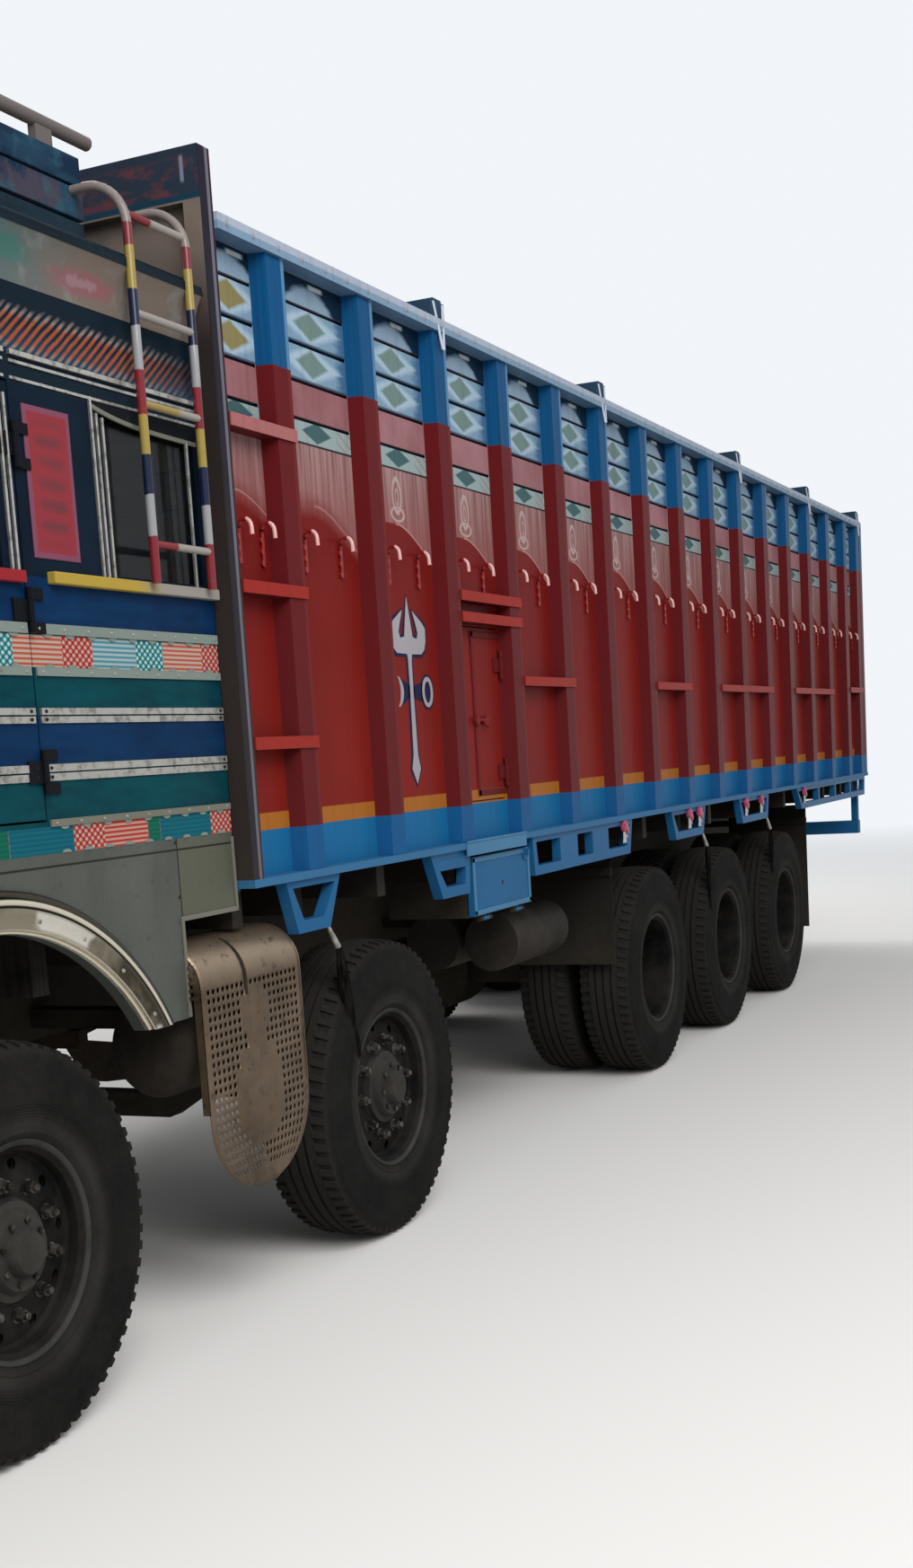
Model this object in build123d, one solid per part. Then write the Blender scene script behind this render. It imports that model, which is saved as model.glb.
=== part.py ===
from build123d import *
import math
import os

# Five-axle cargo truck with a coachbuilt cab and a pressed-steel load body, in millimetres.
# +X points forward, +Y to the truck's left and +Z up. The origin is on the ground, midway
# between the two bumpers. The left side is modelled, and the right side mirrors it.

# Whole truck
LENGTH = 12000.0
WIDTH = 2500.0
FRONT = LENGTH / 2
REAR = -LENGTH / 2
HALF = WIDTH / 2
SEAM = 6.0
SLIP = 0.05
NEAR = 0.3

# Axles: number, distance behind the first axle, steered, twin wheels
FRONT_OVERHANG = 1290.0
AXLE_1_X = FRONT - FRONT_OVERHANG
AXLES = [
    (1, 0.0, True, False),
    (2, 2065.0, True, False),
    (3, 5165.0, False, True),
    (4, 6535.0, False, True),
    (5, 7945.0, False, True),
]

# Wheels and tyres
TYRE_R = 525.0
TYRE_W = 280.0
TREAD_W = 224.0
SIDEWALL_R = 440.0
RIM_R = 256.0
RIM_W = 230.0
RIM_WALL = 12.0
DISC_T = 16.0
WHEEL_FACETS = 24
HUB_FACETS = 12
TYRE_FACE_Y = HALF - 10.0
TWIN_PITCH = 320.0
HUB_R = 105.0
HUB_CAP_R = 62.0
STUB_R = 40.0
SPINDLE_R = 45.0

# Steering: kingpin place and fork
KINGPIN_Y = HALF - 320.0
KINGPIN_R = 24.0
BEAM_EYE_R = 46.0
BEAM_EYE_H = 96.0
BEAM_W = 86.0
FORK_H = 60.0
FORK_GAP = 6.0

# Chassis frame
RAIL_TOP = 1100.0
RAIL_H = 250.0
RAIL_FLANGE = 80.0
RAIL_WALL = 10.0
RAIL_Y = 430.0
RAIL_FRONT = FRONT - 160.0
RAIL_REAR = REAR + 150.0
TOW_EYE_R = 20.0
TOW_EYE_T = 30.0
TOW_EYE_Y = 90.0
TOW_EYE_REACH = 90.0
SPRING_W = 84.0
SPRING_LEAF = 14.0

# Cab
BUMPER_DEPTH = 100.0
CAB_LENGTH = 2350.0
CAB_FACE = FRONT - BUMPER_DEPTH
CAB_REAR = CAB_FACE - CAB_LENGTH
CAB_Y = HALF - 50.0
CAB_SKIN = 40.0
CAB_SILL_Z = 970.0
CAB_TAIL_Z = 1250.0
CAB_FLOOR = 1450.0
CAB_FLOOR_T = 50.0
CAB_BEARER_Y = HALF - 220.0
CAB_TOP = 3020.0
ROOF_T = 40.0
ARCH_R = 762.0
ARCH_Z = 545.0
ARCH_TRIM_W = 108.0
ARCH_TRIM_T = 8.0
# Raised band of the arch trim: inner and outer edge beyond the arch's radius, and height off the cab
ARCH_BEAD = (12.0, 86.0, 22.0)
SCREEN_LOW = 2020.0
SCREEN_HIGH = 2700.0
SCREEN_RAKE = 100.0
GLASS_T = 8.0
DOOR_REAR = AXLE_1_X - 285.0
DOOR_W = 950.0
DOOR_LOW = 1565.0
DOOR_HIGH = 2645.0
DOOR_T = 40.0
CAB_DOOR_HINGES = (1690.0, 2090.0, 2490.0)
CREW_WINDOW = (CAB_REAR + 50.0, CAB_REAR + 500.0, 2200.0, 2640.0)
TUNNEL_Y = 420.0
TUNNEL_TOP = 1800.0
TUNNEL_REAR = AXLE_1_X - 110.0

# Load body
CAB_GAP = 20.0
HEADBOARD_T = 65.0
BODY_FRONT = CAB_REAR - CAB_GAP - HEADBOARD_T
HEADBOARD_TOP = 3430.0
SILL_H = 90.0
BEARER_H = 120.0
FLOOR_TOP = 1340.0
FLOOR_T = 30.0
LEDGE_Z = 1335.0
DECK_Y = HALF - 110.0
DECK_END_GAP = 8.0
WALL_T = 30.0
POST_DEPTH = 55.0
POST_FACE = 110.0
POST_SLOPE = 15.0
FIRST_POST = 395.0
BAY_COUNT = 16
RAIL_BOX_H = 46.0
BODY_TOP = 3260.0
RAIL_LIP = 12.0
PLANK_GAP = 12.0
PLANK_PITCH = 118.0
PLANK_TOP_GAP_Z = 3128.0
PLANK_COUNT = 4
BAR_H = 38.0
REAR_FRAME_T = 90.0
REAR_FRAME_GAP = 30.0
LINTEL_H = 70.0
TAIL_DOOR_T = 50.0
TAIL_DOOR_HINGES = (1530.0, 2265.0, 3000.0)
TAIL_PIN_X = 15.0
TIE_SECTION = 72.0

# Side door in the left wall
SIDE_DOOR_BAY = 4
SIDE_DOOR_LOW = 1487.0
SIDE_DOOR_HIGH = 2160.0
SIDE_DOOR_HINGES = (1590.0, 2020.0)
DOOR_STILE = 12.0

# Hinges of the doors and the lid
HINGE_R = 9.0
HINGE_PIN_R = 5.0
HINGE_L = 55.0
HINGE_LEAF = 60.0
HINGE_OUT = 12.0

# Roof rack and ladder
RACK_Y = HALF - 170.0
RACK_REAR = CAB_REAR + 310.0
RACK_FRONT = CAB_FACE - 260.0
RACK_H = 270.0
RACK_TOP = CAB_TOP + ROOF_T + RACK_H
CROWN_RISE = 70.0
RACK_T = 30.0
TUBE_R = 17.0
LADDER_Y = HALF - 4.0
LADDER_X = (CAB_REAR + 75.0, CAB_REAR + 360.0)
LADDER_LOW = 2185.0
LADDER_R = 13.0
LADDER_BEND = 120.0
LADDER_DROP = 95.0
LADDER_RUNGS = (2290.0, 2660.0, 2895.0, 3150.0)

# Pieces slung below the body
GUARD_FRONT = AXLE_1_X - 858.0
GUARD_LENGTH = 580.0
GUARD_REAR = GUARD_FRONT - GUARD_LENGTH
GUARD_CLEAR = 8.0
GUARD_TOP = 1180.0
GUARD_LOW = 410.0
GUARD_SHEET = 6.0
GUARD_BEND = 130.0
SILENCER_R = 150.0
TOOLBOX_X = (AXLE_1_X - 3450.0, AXLE_1_X - 2850.0)
TOOLBOX_LOW = 1035.0
TOOLBOX_LID_TOP = 1272.0
TOOLBOX_LID_T = 24.0
TOOLBOX_Y = (HALF - 390.0, HALF - 20.0)
TANK_X = (AXLE_1_X - 4310.0, AXLE_1_X - 2960.0)
TANK_Z = (600.0, 1040.0)
TANK_Y = (HALF - 610.0, HALF - 50.0)
AIR_TANK_R = 125.0
AIR_TANK_X = (AXLE_1_X - 4150.0, AXLE_1_X - 3530.0)
SIDE_BAR = 40.0
FLAP_T = 10.0
BUMPER_Z = (860.0, 960.0)
BUMPER_GAP = 150.0
TAIL_LAMP_T = 22.0

TYRE_Y = TYRE_FACE_Y - TYRE_W / 2
WALL_OUT = HALF - POST_DEPTH
WALL_IN = WALL_OUT - WALL_T
WALL_REAR = REAR + REAR_FRAME_GAP + REAR_FRAME_T
BAY = (BODY_FRONT - FIRST_POST - REAR) / (BAY_COUNT - 1)


def block(x, y, z):
    """A box between three pairs of limits."""
    size = [pair[1] - pair[0] for pair in (x, y, z)]
    middle = [(pair[0] + pair[1]) / 2 for pair in (x, y, z)]
    return Pos(*middle) * Box(*size)


def side_plate(points, y):
    """An outline in X and Z, made solid between two widths."""
    plane = Plane(origin=(0, y[1], 0), x_dir=(1, 0, 0), z_dir=(0, -1, 0))
    return extrude(plane * make_face(Polyline(*points, close=True)), amount=y[1] - y[0])


def cross_plate(points, x):
    """An outline in Y and Z, made solid between two lengths."""
    plane = Plane(origin=(x[0], 0, 0), x_dir=(0, 1, 0), z_dir=(1, 0, 0))
    return extrude(plane * make_face(Polyline(*points, close=True)), amount=x[1] - x[0])


def flat_plate(points, z):
    """An outline in X and Y, made solid between two heights."""
    plane = Plane(origin=(0, 0, z[0]), x_dir=(1, 0, 0), z_dir=(0, 0, 1))
    return extrude(plane * make_face(Polyline(*points, close=True)), amount=z[1] - z[0])


def rod(start, end, radius):
    """A round bar from one point to another."""
    run = Vector(*end) - Vector(*start)
    plane = Plane(origin=start, z_dir=run)
    return extrude(plane * Circle(radius), amount=run.length)


def right(shape):
    """The same piece on the truck's right side."""
    return mirror(shape, about=Plane.XZ)


def both(shape):
    """A piece and its mirror, as one node."""
    return Compound(children=list(shape.solids()) + list(right(shape).solids()))


def node(name, shape):
    """Writes one sub-part."""
    export_step(shape, "parts/" + name + ".step")


def axle_x(behind):
    return AXLE_1_X - behind


def hinge(pin, drop, leaf, moving):
    """Half a hinge. The pin lies on the plane's Z, the moving leaf towards its X, the open air at its Y."""
    half = HINGE_L / 2
    spans = [(-half, half)] if moving else [(half + 1, HINGE_L + 1), (-HINGE_L - 1, -half - 1)]
    x = (SEAM / 2, leaf) if moving else (-leaf, -SEAM / 2)
    solid = None if moving else Cylinder(HINGE_PIN_R, 2 * HINGE_L + 2)
    for low, high in spans:
        piece = Pos(0, 0, (low + high) / 2) * Cylinder(HINGE_R, high - low)
        piece += block(x, (-drop - 1, -HINGE_R / 2), (low, high))
        solid = piece if solid is None else solid + piece
    if moving:
        solid -= Cylinder(HINGE_PIN_R + SLIP, HINGE_L + 2)
    return pin.location * solid


def faceted(sections, x, sides):
    """A many-sided turned form on a cross axis: sections of (distance across flats / 2, y)."""
    rings = []
    for radius, y in sections:
        corner = radius / math.cos(math.pi / sides)
        ring = []
        for index in range(sides):
            angle = 2 * math.pi * (index + 0.5) / sides
            ring.append((x + corner * math.cos(angle), y, TYRE_R + corner * math.sin(angle)))
        rings.append(ring)
    faces = [Face(Wire.make_polygon(rings[0])), Face(Wire.make_polygon(rings[-1]))]
    for first, second in zip(rings, rings[1:]):
        for index in range(sides):
            behind = index - 1
            corners = [first[behind], first[index], second[index], second[behind]]
            faces.append(Face(Wire.make_polygon(corners)))
    return Solid(Shell(faces))


def tyre(x, middle):
    """One tyre: flat tread, sloping shoulders, straight lower walls and a bore for the rim."""
    wide, tread = TYRE_W / 2, TREAD_W / 2
    body = faceted(
        [
            (SIDEWALL_R, middle - wide),
            (TYRE_R, middle - tread),
            (TYRE_R, middle + tread),
            (SIDEWALL_R, middle + wide),
        ],
        x,
        WHEEL_FACETS,
    )
    bore = faceted([(RIM_R + NEAR, middle - wide - 1), (RIM_R + NEAR, middle + wide + 1)], x, WHEEL_FACETS)
    return body - bore


def single_wheel(x):
    """Steered wheel: a deep barrel, its disc near the outer edge, the hub and its cap."""
    low, high = TYRE_Y - RIM_W / 2, TYRE_Y + RIM_W / 2
    disc = high - 40.0
    inner = RIM_R - RIM_WALL
    wheel = faceted([(RIM_R, low), (RIM_R, high)], x, WHEEL_FACETS)
    wheel -= faceted([(inner, low - 1), (inner, disc - DISC_T)], x, WHEEL_FACETS)
    wheel -= faceted([(inner - 40, disc), (inner, high + 1)], x, WHEEL_FACETS)
    hub = faceted([(HUB_R, KINGPIN_Y + 105), (HUB_R, high + 6)], x, HUB_FACETS)
    cap = faceted([(HUB_CAP_R, high), (HUB_CAP_R - 8, high + 34)], x, HUB_FACETS)
    bore = rod((x, KINGPIN_Y + 100, TYRE_R), (x, high - 15, TYRE_R), STUB_R + SLIP)
    return wheel + hub + cap - bore


def twin_wheel(x):
    """Driven or trailing wheel: two barrels whose discs meet back to back on one hub."""
    outer, pair = TYRE_Y, TYRE_Y - TWIN_PITCH
    inner = RIM_R - RIM_WALL
    seat = (outer + pair) / 2
    wheel = faceted([(RIM_R, outer - RIM_W / 2), (RIM_R, outer + RIM_W / 2)], x, WHEEL_FACETS)
    wheel += faceted([(RIM_R, pair - RIM_W / 2), (RIM_R, pair + RIM_W / 2)], x, WHEEL_FACETS)
    wheel += faceted([(inner - 30, seat - 60), (inner - 30, seat + 60)], x, WHEEL_FACETS)
    wheel -= faceted([(inner - 50, seat + DISC_T / 2), (inner, outer + RIM_W / 2 + 1)], x, WHEEL_FACETS)
    wheel -= faceted([(inner, pair - RIM_W / 2 - 1), (inner - 50, seat - DISC_T / 2)], x, WHEEL_FACETS)
    hub = faceted([(HUB_R, pair - RIM_W / 2 + 50), (HUB_R, outer - 60)], x, HUB_FACETS)
    cap = faceted([(HUB_CAP_R + 12, outer - 60), (HUB_CAP_R, outer - 5)], x, HUB_FACETS)
    bore = rod((x, pair - RIM_W / 2 + 40, TYRE_R), (x, outer - 40, TYRE_R), SPINDLE_R + SLIP)
    return wheel + hub + cap - bore


def steering_knuckle(x):
    """Fork round the beam's eye, with the stub that carries the wheel."""
    eye_low, eye_high = TYRE_R - BEAM_EYE_H / 2, TYRE_R + BEAM_EYE_H / 2
    web = KINGPIN_Y + BEAM_EYE_R + 12
    across = (x - 50, x + 50)
    upper = block(across, (KINGPIN_Y - 40, web + 28), (eye_high + FORK_GAP, eye_high + FORK_GAP + FORK_H))
    lower = block(across, (KINGPIN_Y - 40, web + 28), (eye_low - FORK_GAP - FORK_H, eye_low - FORK_GAP))
    back = block(across, (web, web + 28), (eye_low - FORK_GAP - 1, eye_high + FORK_GAP + 1))
    stub = rod((x, web + 10, TYRE_R), (x, TYRE_Y + RIM_W / 2 - 30, TYRE_R), STUB_R)
    shape = upper + lower + back + stub
    return shape - rod((x, KINGPIN_Y, TYRE_R - 200), (x, KINGPIN_Y, TYRE_R + 200), KINGPIN_R + SLIP)


def steer_beam(x):
    """Forged beam with a dropped middle, raised spring seats and a kingpin in each eye."""
    seat = RAIL_Y + SPRING_W / 2 + 20
    eye_low, eye_high = TYRE_R - BEAM_EYE_H / 2, TYRE_R + BEAM_EYE_H / 2
    half = [
        (KINGPIN_Y - 20, eye_high - 3),
        (seat + 60, eye_high - 10),
        (seat, TYRE_R + 45),
        (seat - 130, TYRE_R + 45),
        (seat - 220, TYRE_R - 40),
    ]
    under = [
        (seat - 190, TYRE_R - 130),
        (seat - 60, TYRE_R - 50),
        (seat + 60, TYRE_R - 45),
        (KINGPIN_Y - 20, eye_low + 3),
    ]
    outline = half + [(-y, z) for y, z in reversed(half)]
    outline += [(-y, z) for y, z in reversed(under)] + under
    beam = cross_plate(outline, (x - BEAM_W / 2, x + BEAM_W / 2))
    for side in (1, -1):
        y = side * KINGPIN_Y
        beam += rod((x, y, eye_low), (x, y, eye_high), BEAM_EYE_R)
        reach = BEAM_EYE_H / 2 + FORK_GAP + FORK_H
        beam += rod((x, y, TYRE_R - reach), (x, y, TYRE_R + reach), KINGPIN_R)
    return beam


def banjo_axle(x):
    """Axle housing with its round centre, and a spindle at each end."""
    pair = TYRE_Y - TWIN_PITCH
    shoulder = pair - RIM_W / 2 + 40
    tube = block((x - 62, x + 62), (-shoulder + 10, shoulder - 10), (TYRE_R - 65, TYRE_R + 65))
    bowl = rod((x - 150, 0, TYRE_R), (x + 130, 0, TYRE_R), 205.0)
    tip = TYRE_Y - 50
    spindle = rod((x, -tip, TYRE_R), (x, tip, TYRE_R), SPINDLE_R)
    return tube + bowl + spindle


def leaf_spring(x, span, seat_z, leaves, top_z):
    """A pack of leaves, longest on top, between its two hangers and the axle's seat."""
    y = (RAIL_Y - SPRING_W / 2, RAIL_Y + SPRING_W / 2)
    half = span / 2
    count = leaves
    pack_h = count * SPRING_LEAF
    base = seat_z + NEAR
    steps_up = [(x + half, top_z - 34), (x + half, top_z - 34 - SPRING_LEAF)]
    for level in range(count - 1, 0, -1):
        reach = half * level / count
        steps_up.append((x + reach, base + level * SPRING_LEAF))
    points = steps_up + [(x + 70, base), (x - 70, base)]
    points += [(2 * x - px, pz) for px, pz in reversed(steps_up)]
    points += [(x - 70, base + pack_h), (x + 70, base + pack_h)]
    pack = side_plate(points, y)
    for side in (1, -1):
        eye = x + side * half
        pack += block((eye - 25, eye + 25), y, (top_z - 60, top_z))
    return pack


# Cross-members: distances behind the first axle, and parts of the way from the last axle to the end
CROSS_MEMBERS = (1150.0, 2810.0, 4210.0, 5860.0, 7240.0)
TAIL_CROSS_MEMBERS = (0.27, 0.71)


# Chassis frame: two channel rails with their flanges inward, and cross-members between them
def chassis_frame():
    z0, z1 = RAIL_TOP - RAIL_H, RAIL_TOP
    wall, flange = RAIL_WALL, RAIL_FLANGE
    outline = [
        (RAIL_Y, z0),
        (RAIL_Y, z1),
        (RAIL_Y - flange, z1),
        (RAIL_Y - flange, z1 - wall),
        (RAIL_Y - wall, z1 - wall),
        (RAIL_Y - wall, z0 + wall),
        (RAIL_Y - flange, z0 + wall),
        (RAIL_Y - flange, z0),
    ]
    rail = cross_plate(outline, (RAIL_REAR, RAIL_FRONT))
    frame = rail + right(rail)
    inner = RAIL_Y - wall
    for x in (AXLE_1_X + 690, AXLE_1_X + 50):
        frame += block((x - 35, x + 35), (-inner, inner), (z0, z0 + wall))
    eye_z, eye_x = z0 + 80, RAIL_REAR - TOW_EYE_REACH + 40
    eye = block((RAIL_REAR - TOW_EYE_REACH, RAIL_REAR + 40), (-TOW_EYE_Y, TOW_EYE_Y), (eye_z, eye_z + TOW_EYE_T))
    eye -= rod((eye_x, 0, eye_z - 1), (eye_x, 0, eye_z + TOW_EYE_T + 1), TOW_EYE_R)
    last_axle = axle_x(AXLES[-1][1])
    spaced = [RAIL_FRONT - 60, RAIL_REAR + 40]
    spaced += [axle_x(behind) for behind in CROSS_MEMBERS]
    spaced += [last_axle + (RAIL_REAR - last_axle) * part for part in TAIL_CROSS_MEMBERS]
    for x in spaced:
        frame += block((x - 40, x + 40), (-inner, inner), (z0 + 60, z0 + 66))
        frame += block((x - 3, x + 3), (-inner, inner), (z0 + 60, z1 - 20))
    return frame + eye


# Load floor: sills on the rails, a bearer under each post, and a deck that stands above the
# ledge that carries the walls
def load_floor():
    low = RAIL_TOP
    sill = block((WALL_REAR, BODY_FRONT + HEADBOARD_T), (RAIL_Y - 80, RAIL_Y), (low, low + SILL_H))
    floor = sill + right(sill)
    bearer_z = (low + SILL_H, low + SILL_H + BEARER_H)
    front = BODY_FRONT + HEADBOARD_T
    for index in range(BAY_COUNT):
        x = post_x(index) + POST_FACE / 2
        x = max(x, WALL_REAR + POST_FACE)
        floor += block((x - 30, x + 30), (-WALL_IN, WALL_IN), bearer_z)
    floor += block((front - 60, front), (-WALL_IN, WALL_IN), bearer_z)
    rear = WALL_REAR - REAR_FRAME_T
    floor += block((rear, front), (-HALF - 5, HALF + 5), (FLOOR_TOP - FLOOR_T, LEDGE_Z))
    deck_x = (WALL_REAR + DECK_END_GAP, BODY_FRONT - DECK_END_GAP)
    return floor + block(deck_x, (-DECK_Y, DECK_Y), (LEDGE_Z - 1, FLOOR_TOP))


def post_x(index):
    """Rear edge of a post's outer face, the first post being number 0."""
    return BODY_FRONT - FIRST_POST - index * BAY


# Cross bars on the side walls: bay number, height of the bar's middle
WALL_BARS = [
    (1, 1740.0),
    (1, 2205.0),
    (1, 2685.0),
    (4, 2190.0),
    (4, 2270.0),
    (5, 1955.0),
    (8, 1955.0),
    (10, 1955.0),
    (11, 1955.0),
    (13, 1955.0),
    (14, 1955.0),
    (16, 1975.0),
]


# Side wall: one pressed sheet with trapezoid posts, planked gaps near its top and a box rail
def side_wall(with_door):
    front = BODY_FRONT
    outline = [(front, WALL_IN), (front, WALL_OUT)]
    for index in range(BAY_COUNT):
        x = post_x(index)
        if index == BAY_COUNT - 1:
            x = WALL_REAR + POST_SLOPE
        outline += [
            (x + POST_FACE + POST_SLOPE, WALL_OUT),
            (x + POST_FACE, HALF),
            (x, HALF),
            (x - POST_SLOPE, WALL_OUT),
        ]
    outline += [(WALL_REAR, WALL_IN)]
    rail_low = BODY_TOP - RAIL_BOX_H
    wall = flat_plate(outline, (LEDGE_Z, rail_low))
    for row in range(PLANK_COUNT):
        z = PLANK_TOP_GAP_Z - row * PLANK_PITCH
        wall -= block((WALL_REAR - 1, front + 1), (WALL_OUT - 10, WALL_OUT), (z - PLANK_GAP, z))
    for bay, z in WALL_BARS:
        ahead = front if bay == 1 else post_x(bay - 2)
        behind = post_x(bay - 1) if bay < BAY_COUNT else WALL_REAR + POST_SLOPE
        wall += block((behind, ahead), (WALL_OUT - 1, HALF + 8), (z - BAR_H / 2, z + BAR_H / 2))
    wall += block((WALL_REAR, front), (WALL_IN - 15, HALF + RAIL_LIP), (rail_low, BODY_TOP))
    if with_door:
        low, high = door_opening()
        wall -= block((low, high), (WALL_IN - 1, WALL_OUT + 1), (SIDE_DOOR_LOW - SEAM, SIDE_DOOR_HIGH + SEAM))
        for pin in side_door_pins():
            wall += hinge(pin, HINGE_OUT, DOOR_STILE, False)
    return wall


def door_opening():
    """The side door's clear width, between two posts."""
    bay = SIDE_DOOR_BAY
    return post_x(bay - 1) + POST_FACE + POST_SLOPE + DOOR_STILE, post_x(bay - 2) - POST_SLOPE - DOOR_STILE


def side_door_pins():
    x = door_opening()[0] + SEAM / 2
    return [Plane(origin=(x, WALL_OUT + HINGE_OUT, z), z_dir=(0, 0, 1)) for z in SIDE_DOOR_HINGES]


def side_door():
    low, high = door_opening()
    leaf = block((low + SEAM, high - SEAM), (WALL_IN, WALL_OUT), (SIDE_DOOR_LOW, SIDE_DOOR_HIGH))
    leaf -= block(
        (low + 50, high - 50),
        (WALL_IN - 1, WALL_IN + 14),
        (SIDE_DOOR_LOW + 50, SIDE_DOOR_HIGH - 50),
    )
    for pin in side_door_pins():
        leaf += hinge(pin, HINGE_OUT, HINGE_LEAF, True)
    return leaf


# Headboard: framed sheet with upright ribs, taller than the side walls
def headboard():
    x = (BODY_FRONT, BODY_FRONT + HEADBOARD_T)
    board = block(x, (-HALF, HALF), (LEDGE_Z, HEADBOARD_TOP))
    pane_w = (2 * HALF - 60) / 4
    for index in range(4):
        y = -HALF + 60 + index * pane_w
        for z in ((FLOOR_TOP + 60, 2340.0), (2400.0, HEADBOARD_TOP - 150)):
            board -= block((x[0] + 25, x[1] + 1), (y, y + pane_w - 60), z)
    return board


# Rear frame: two corner posts and a lintel
def rear_frame():
    x = (WALL_REAR - REAR_FRAME_T, WALL_REAR)
    post = block(x, (WALL_IN, HALF), (LEDGE_Z, BODY_TOP))
    for pin in tail_door_pins():
        post += hinge(pin, x[0] - pin.origin.X, HINGE_LEAF, False)
    lintel = block(x, (-WALL_IN, WALL_IN), (BODY_TOP - LINTEL_H, BODY_TOP))
    return post + right(post) + lintel


def tail_door_pins():
    """Pins behind the rear frame's left edge: moving leaf to the right, open air behind."""
    at = (REAR + TAIL_PIN_X, WALL_IN - SEAM / 2)
    return [Plane(origin=(at[0], at[1], z), x_dir=(0, -1, 0), z_dir=(0, 0, -1)) for z in TAIL_DOOR_HINGES]


def tail_door():
    """Left leaf: a framed sheet with three cross ribs."""
    x = (WALL_REAR - REAR_FRAME_T + 10, WALL_REAR - REAR_FRAME_T + 10 + TAIL_DOOR_T)
    y = (SEAM, WALL_IN - SEAM)
    z = (FLOOR_TOP + SEAM, BODY_TOP - LINTEL_H - SEAM)
    leaf = block(x, y, z)
    rows = 4
    pane = (z[1] - z[0] - 70) / rows
    for row in range(rows):
        low = z[0] + 70 + row * pane
        leaf -= block((x[0] - 1, x[0] + 32), (y[0] + 70, y[1] - 70), (low, low + pane - 70))
    for pin in tail_door_pins():
        leaf += hinge(pin, x[0] - pin.origin.X, HINGE_LEAF, True)
    return leaf


# Cross ties: square beams over the body with a cap block on each rail
TIE_POSTS = (2, 5, 9, 12, 15)


def cross_ties():
    ties = []
    for index in TIE_POSTS:
        x = post_x(index) + POST_FACE / 2
        x = max(x, WALL_REAR + 70)
        z = BODY_TOP
        half = TIE_SECTION / 2
        beam = block((x - half, x + half), (-HALF, HALF), (z, z + TIE_SECTION))
        cap = block((x - 60, x + 60), (WALL_IN, HALF), (z, z + TIE_SECTION - 8))
        ties += (beam + cap + right(cap)).solids()
    return Compound(children=ties)


# Cab: outer profile of the front shell, from the bottom up
def front_profile(depth):
    face = CAB_FACE - depth
    back = face - SCREEN_RAKE
    return [
        (face, CAB_SILL_Z),
        (face, SCREEN_LOW),
        (back, SCREEN_HIGH),
        (face - 30, SCREEN_HIGH + 40),
        (face - 30, CAB_TOP),
    ]


def cab_front():
    outer, inner = front_profile(0), front_profile(CAB_SKIN)
    shell = side_plate(outer + inner[::-1], (-CAB_Y, CAB_Y))
    half = CAB_Y - 110
    shell -= block((CAB_FACE - 220, CAB_FACE + 10), (-half, -30), (SCREEN_LOW + 30, SCREEN_HIGH - 20))
    shell -= block((CAB_FACE - 220, CAB_FACE + 10), (30, half), (SCREEN_LOW + 30, SCREEN_HIGH - 20))
    grille = (1180.0, 1500.0)
    shell -= block((CAB_FACE - 60, CAB_FACE + 10), (-620, 620), grille)
    for row in range(6):
        z = grille[0] + 26 + row * 54
        shell += block((CAB_FACE - 34, CAB_FACE - 8), (-620, 620), (z, z + 22))
    return shell


def arch_cut(radius, y):
    plane = Plane(origin=(AXLE_1_X, y[1], ARCH_Z), x_dir=(1, 0, 0), z_dir=(0, -1, 0))
    return extrude(plane * Circle(radius), amount=y[1] - y[0])


def cab_side():
    """Left side: panel with the wheel arch, door opening and crew window."""
    y = (CAB_Y - CAB_SKIN, CAB_Y)
    tail = GUARD_FRONT + GUARD_CLEAR
    outline = [(CAB_REAR, CAB_TAIL_Z), (tail, CAB_TAIL_Z), (tail, CAB_SILL_Z)]
    outline += front_profile(CAB_SKIN)
    outline += [(CAB_REAR, CAB_TOP)]
    panel = side_plate(outline, y)
    panel -= arch_cut(ARCH_R, (y[0] - 1, y[1] + 1))
    door = (DOOR_REAR, DOOR_REAR + DOOR_W)
    panel -= block(door, (y[0] - 1, y[1] + 1), (DOOR_LOW, DOOR_HIGH))
    x0, x1, z0, z1 = CREW_WINDOW
    panel -= block((x0, x1), (y[0] - 1, y[1] + 1), (z0, z1))
    inner, outer, proud = ARCH_BEAD
    trim = arch_cut(ARCH_R + ARCH_TRIM_W, (CAB_Y - 1, CAB_Y + ARCH_TRIM_T))
    trim -= arch_cut(ARCH_R, (CAB_Y - 2, CAB_Y + proud))
    bead = arch_cut(ARCH_R + outer, (CAB_Y - 1, CAB_Y + proud))
    trim += bead - arch_cut(ARCH_R + inner, (CAB_Y - 2, CAB_Y + proud + 1))
    keep = block((tail, CAB_FACE), (CAB_Y - 1, CAB_Y + proud), (CAB_SILL_Z, CAB_TOP))
    panel += trim & keep
    for pin in cab_door_pins():
        panel += hinge(pin, HINGE_OUT, HINGE_LEAF, False)
    return panel


def cab_door_pins():
    x = DOOR_REAR + SEAM / 2
    return [Plane(origin=(x, CAB_Y + HINGE_OUT, z), z_dir=(0, 0, 1)) for z in CAB_DOOR_HINGES]


def cab_rear():
    return block((CAB_REAR, CAB_REAR + CAB_SKIN), (-CAB_Y + CAB_SKIN, CAB_Y - CAB_SKIN), (CAB_FLOOR, CAB_TOP))


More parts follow.
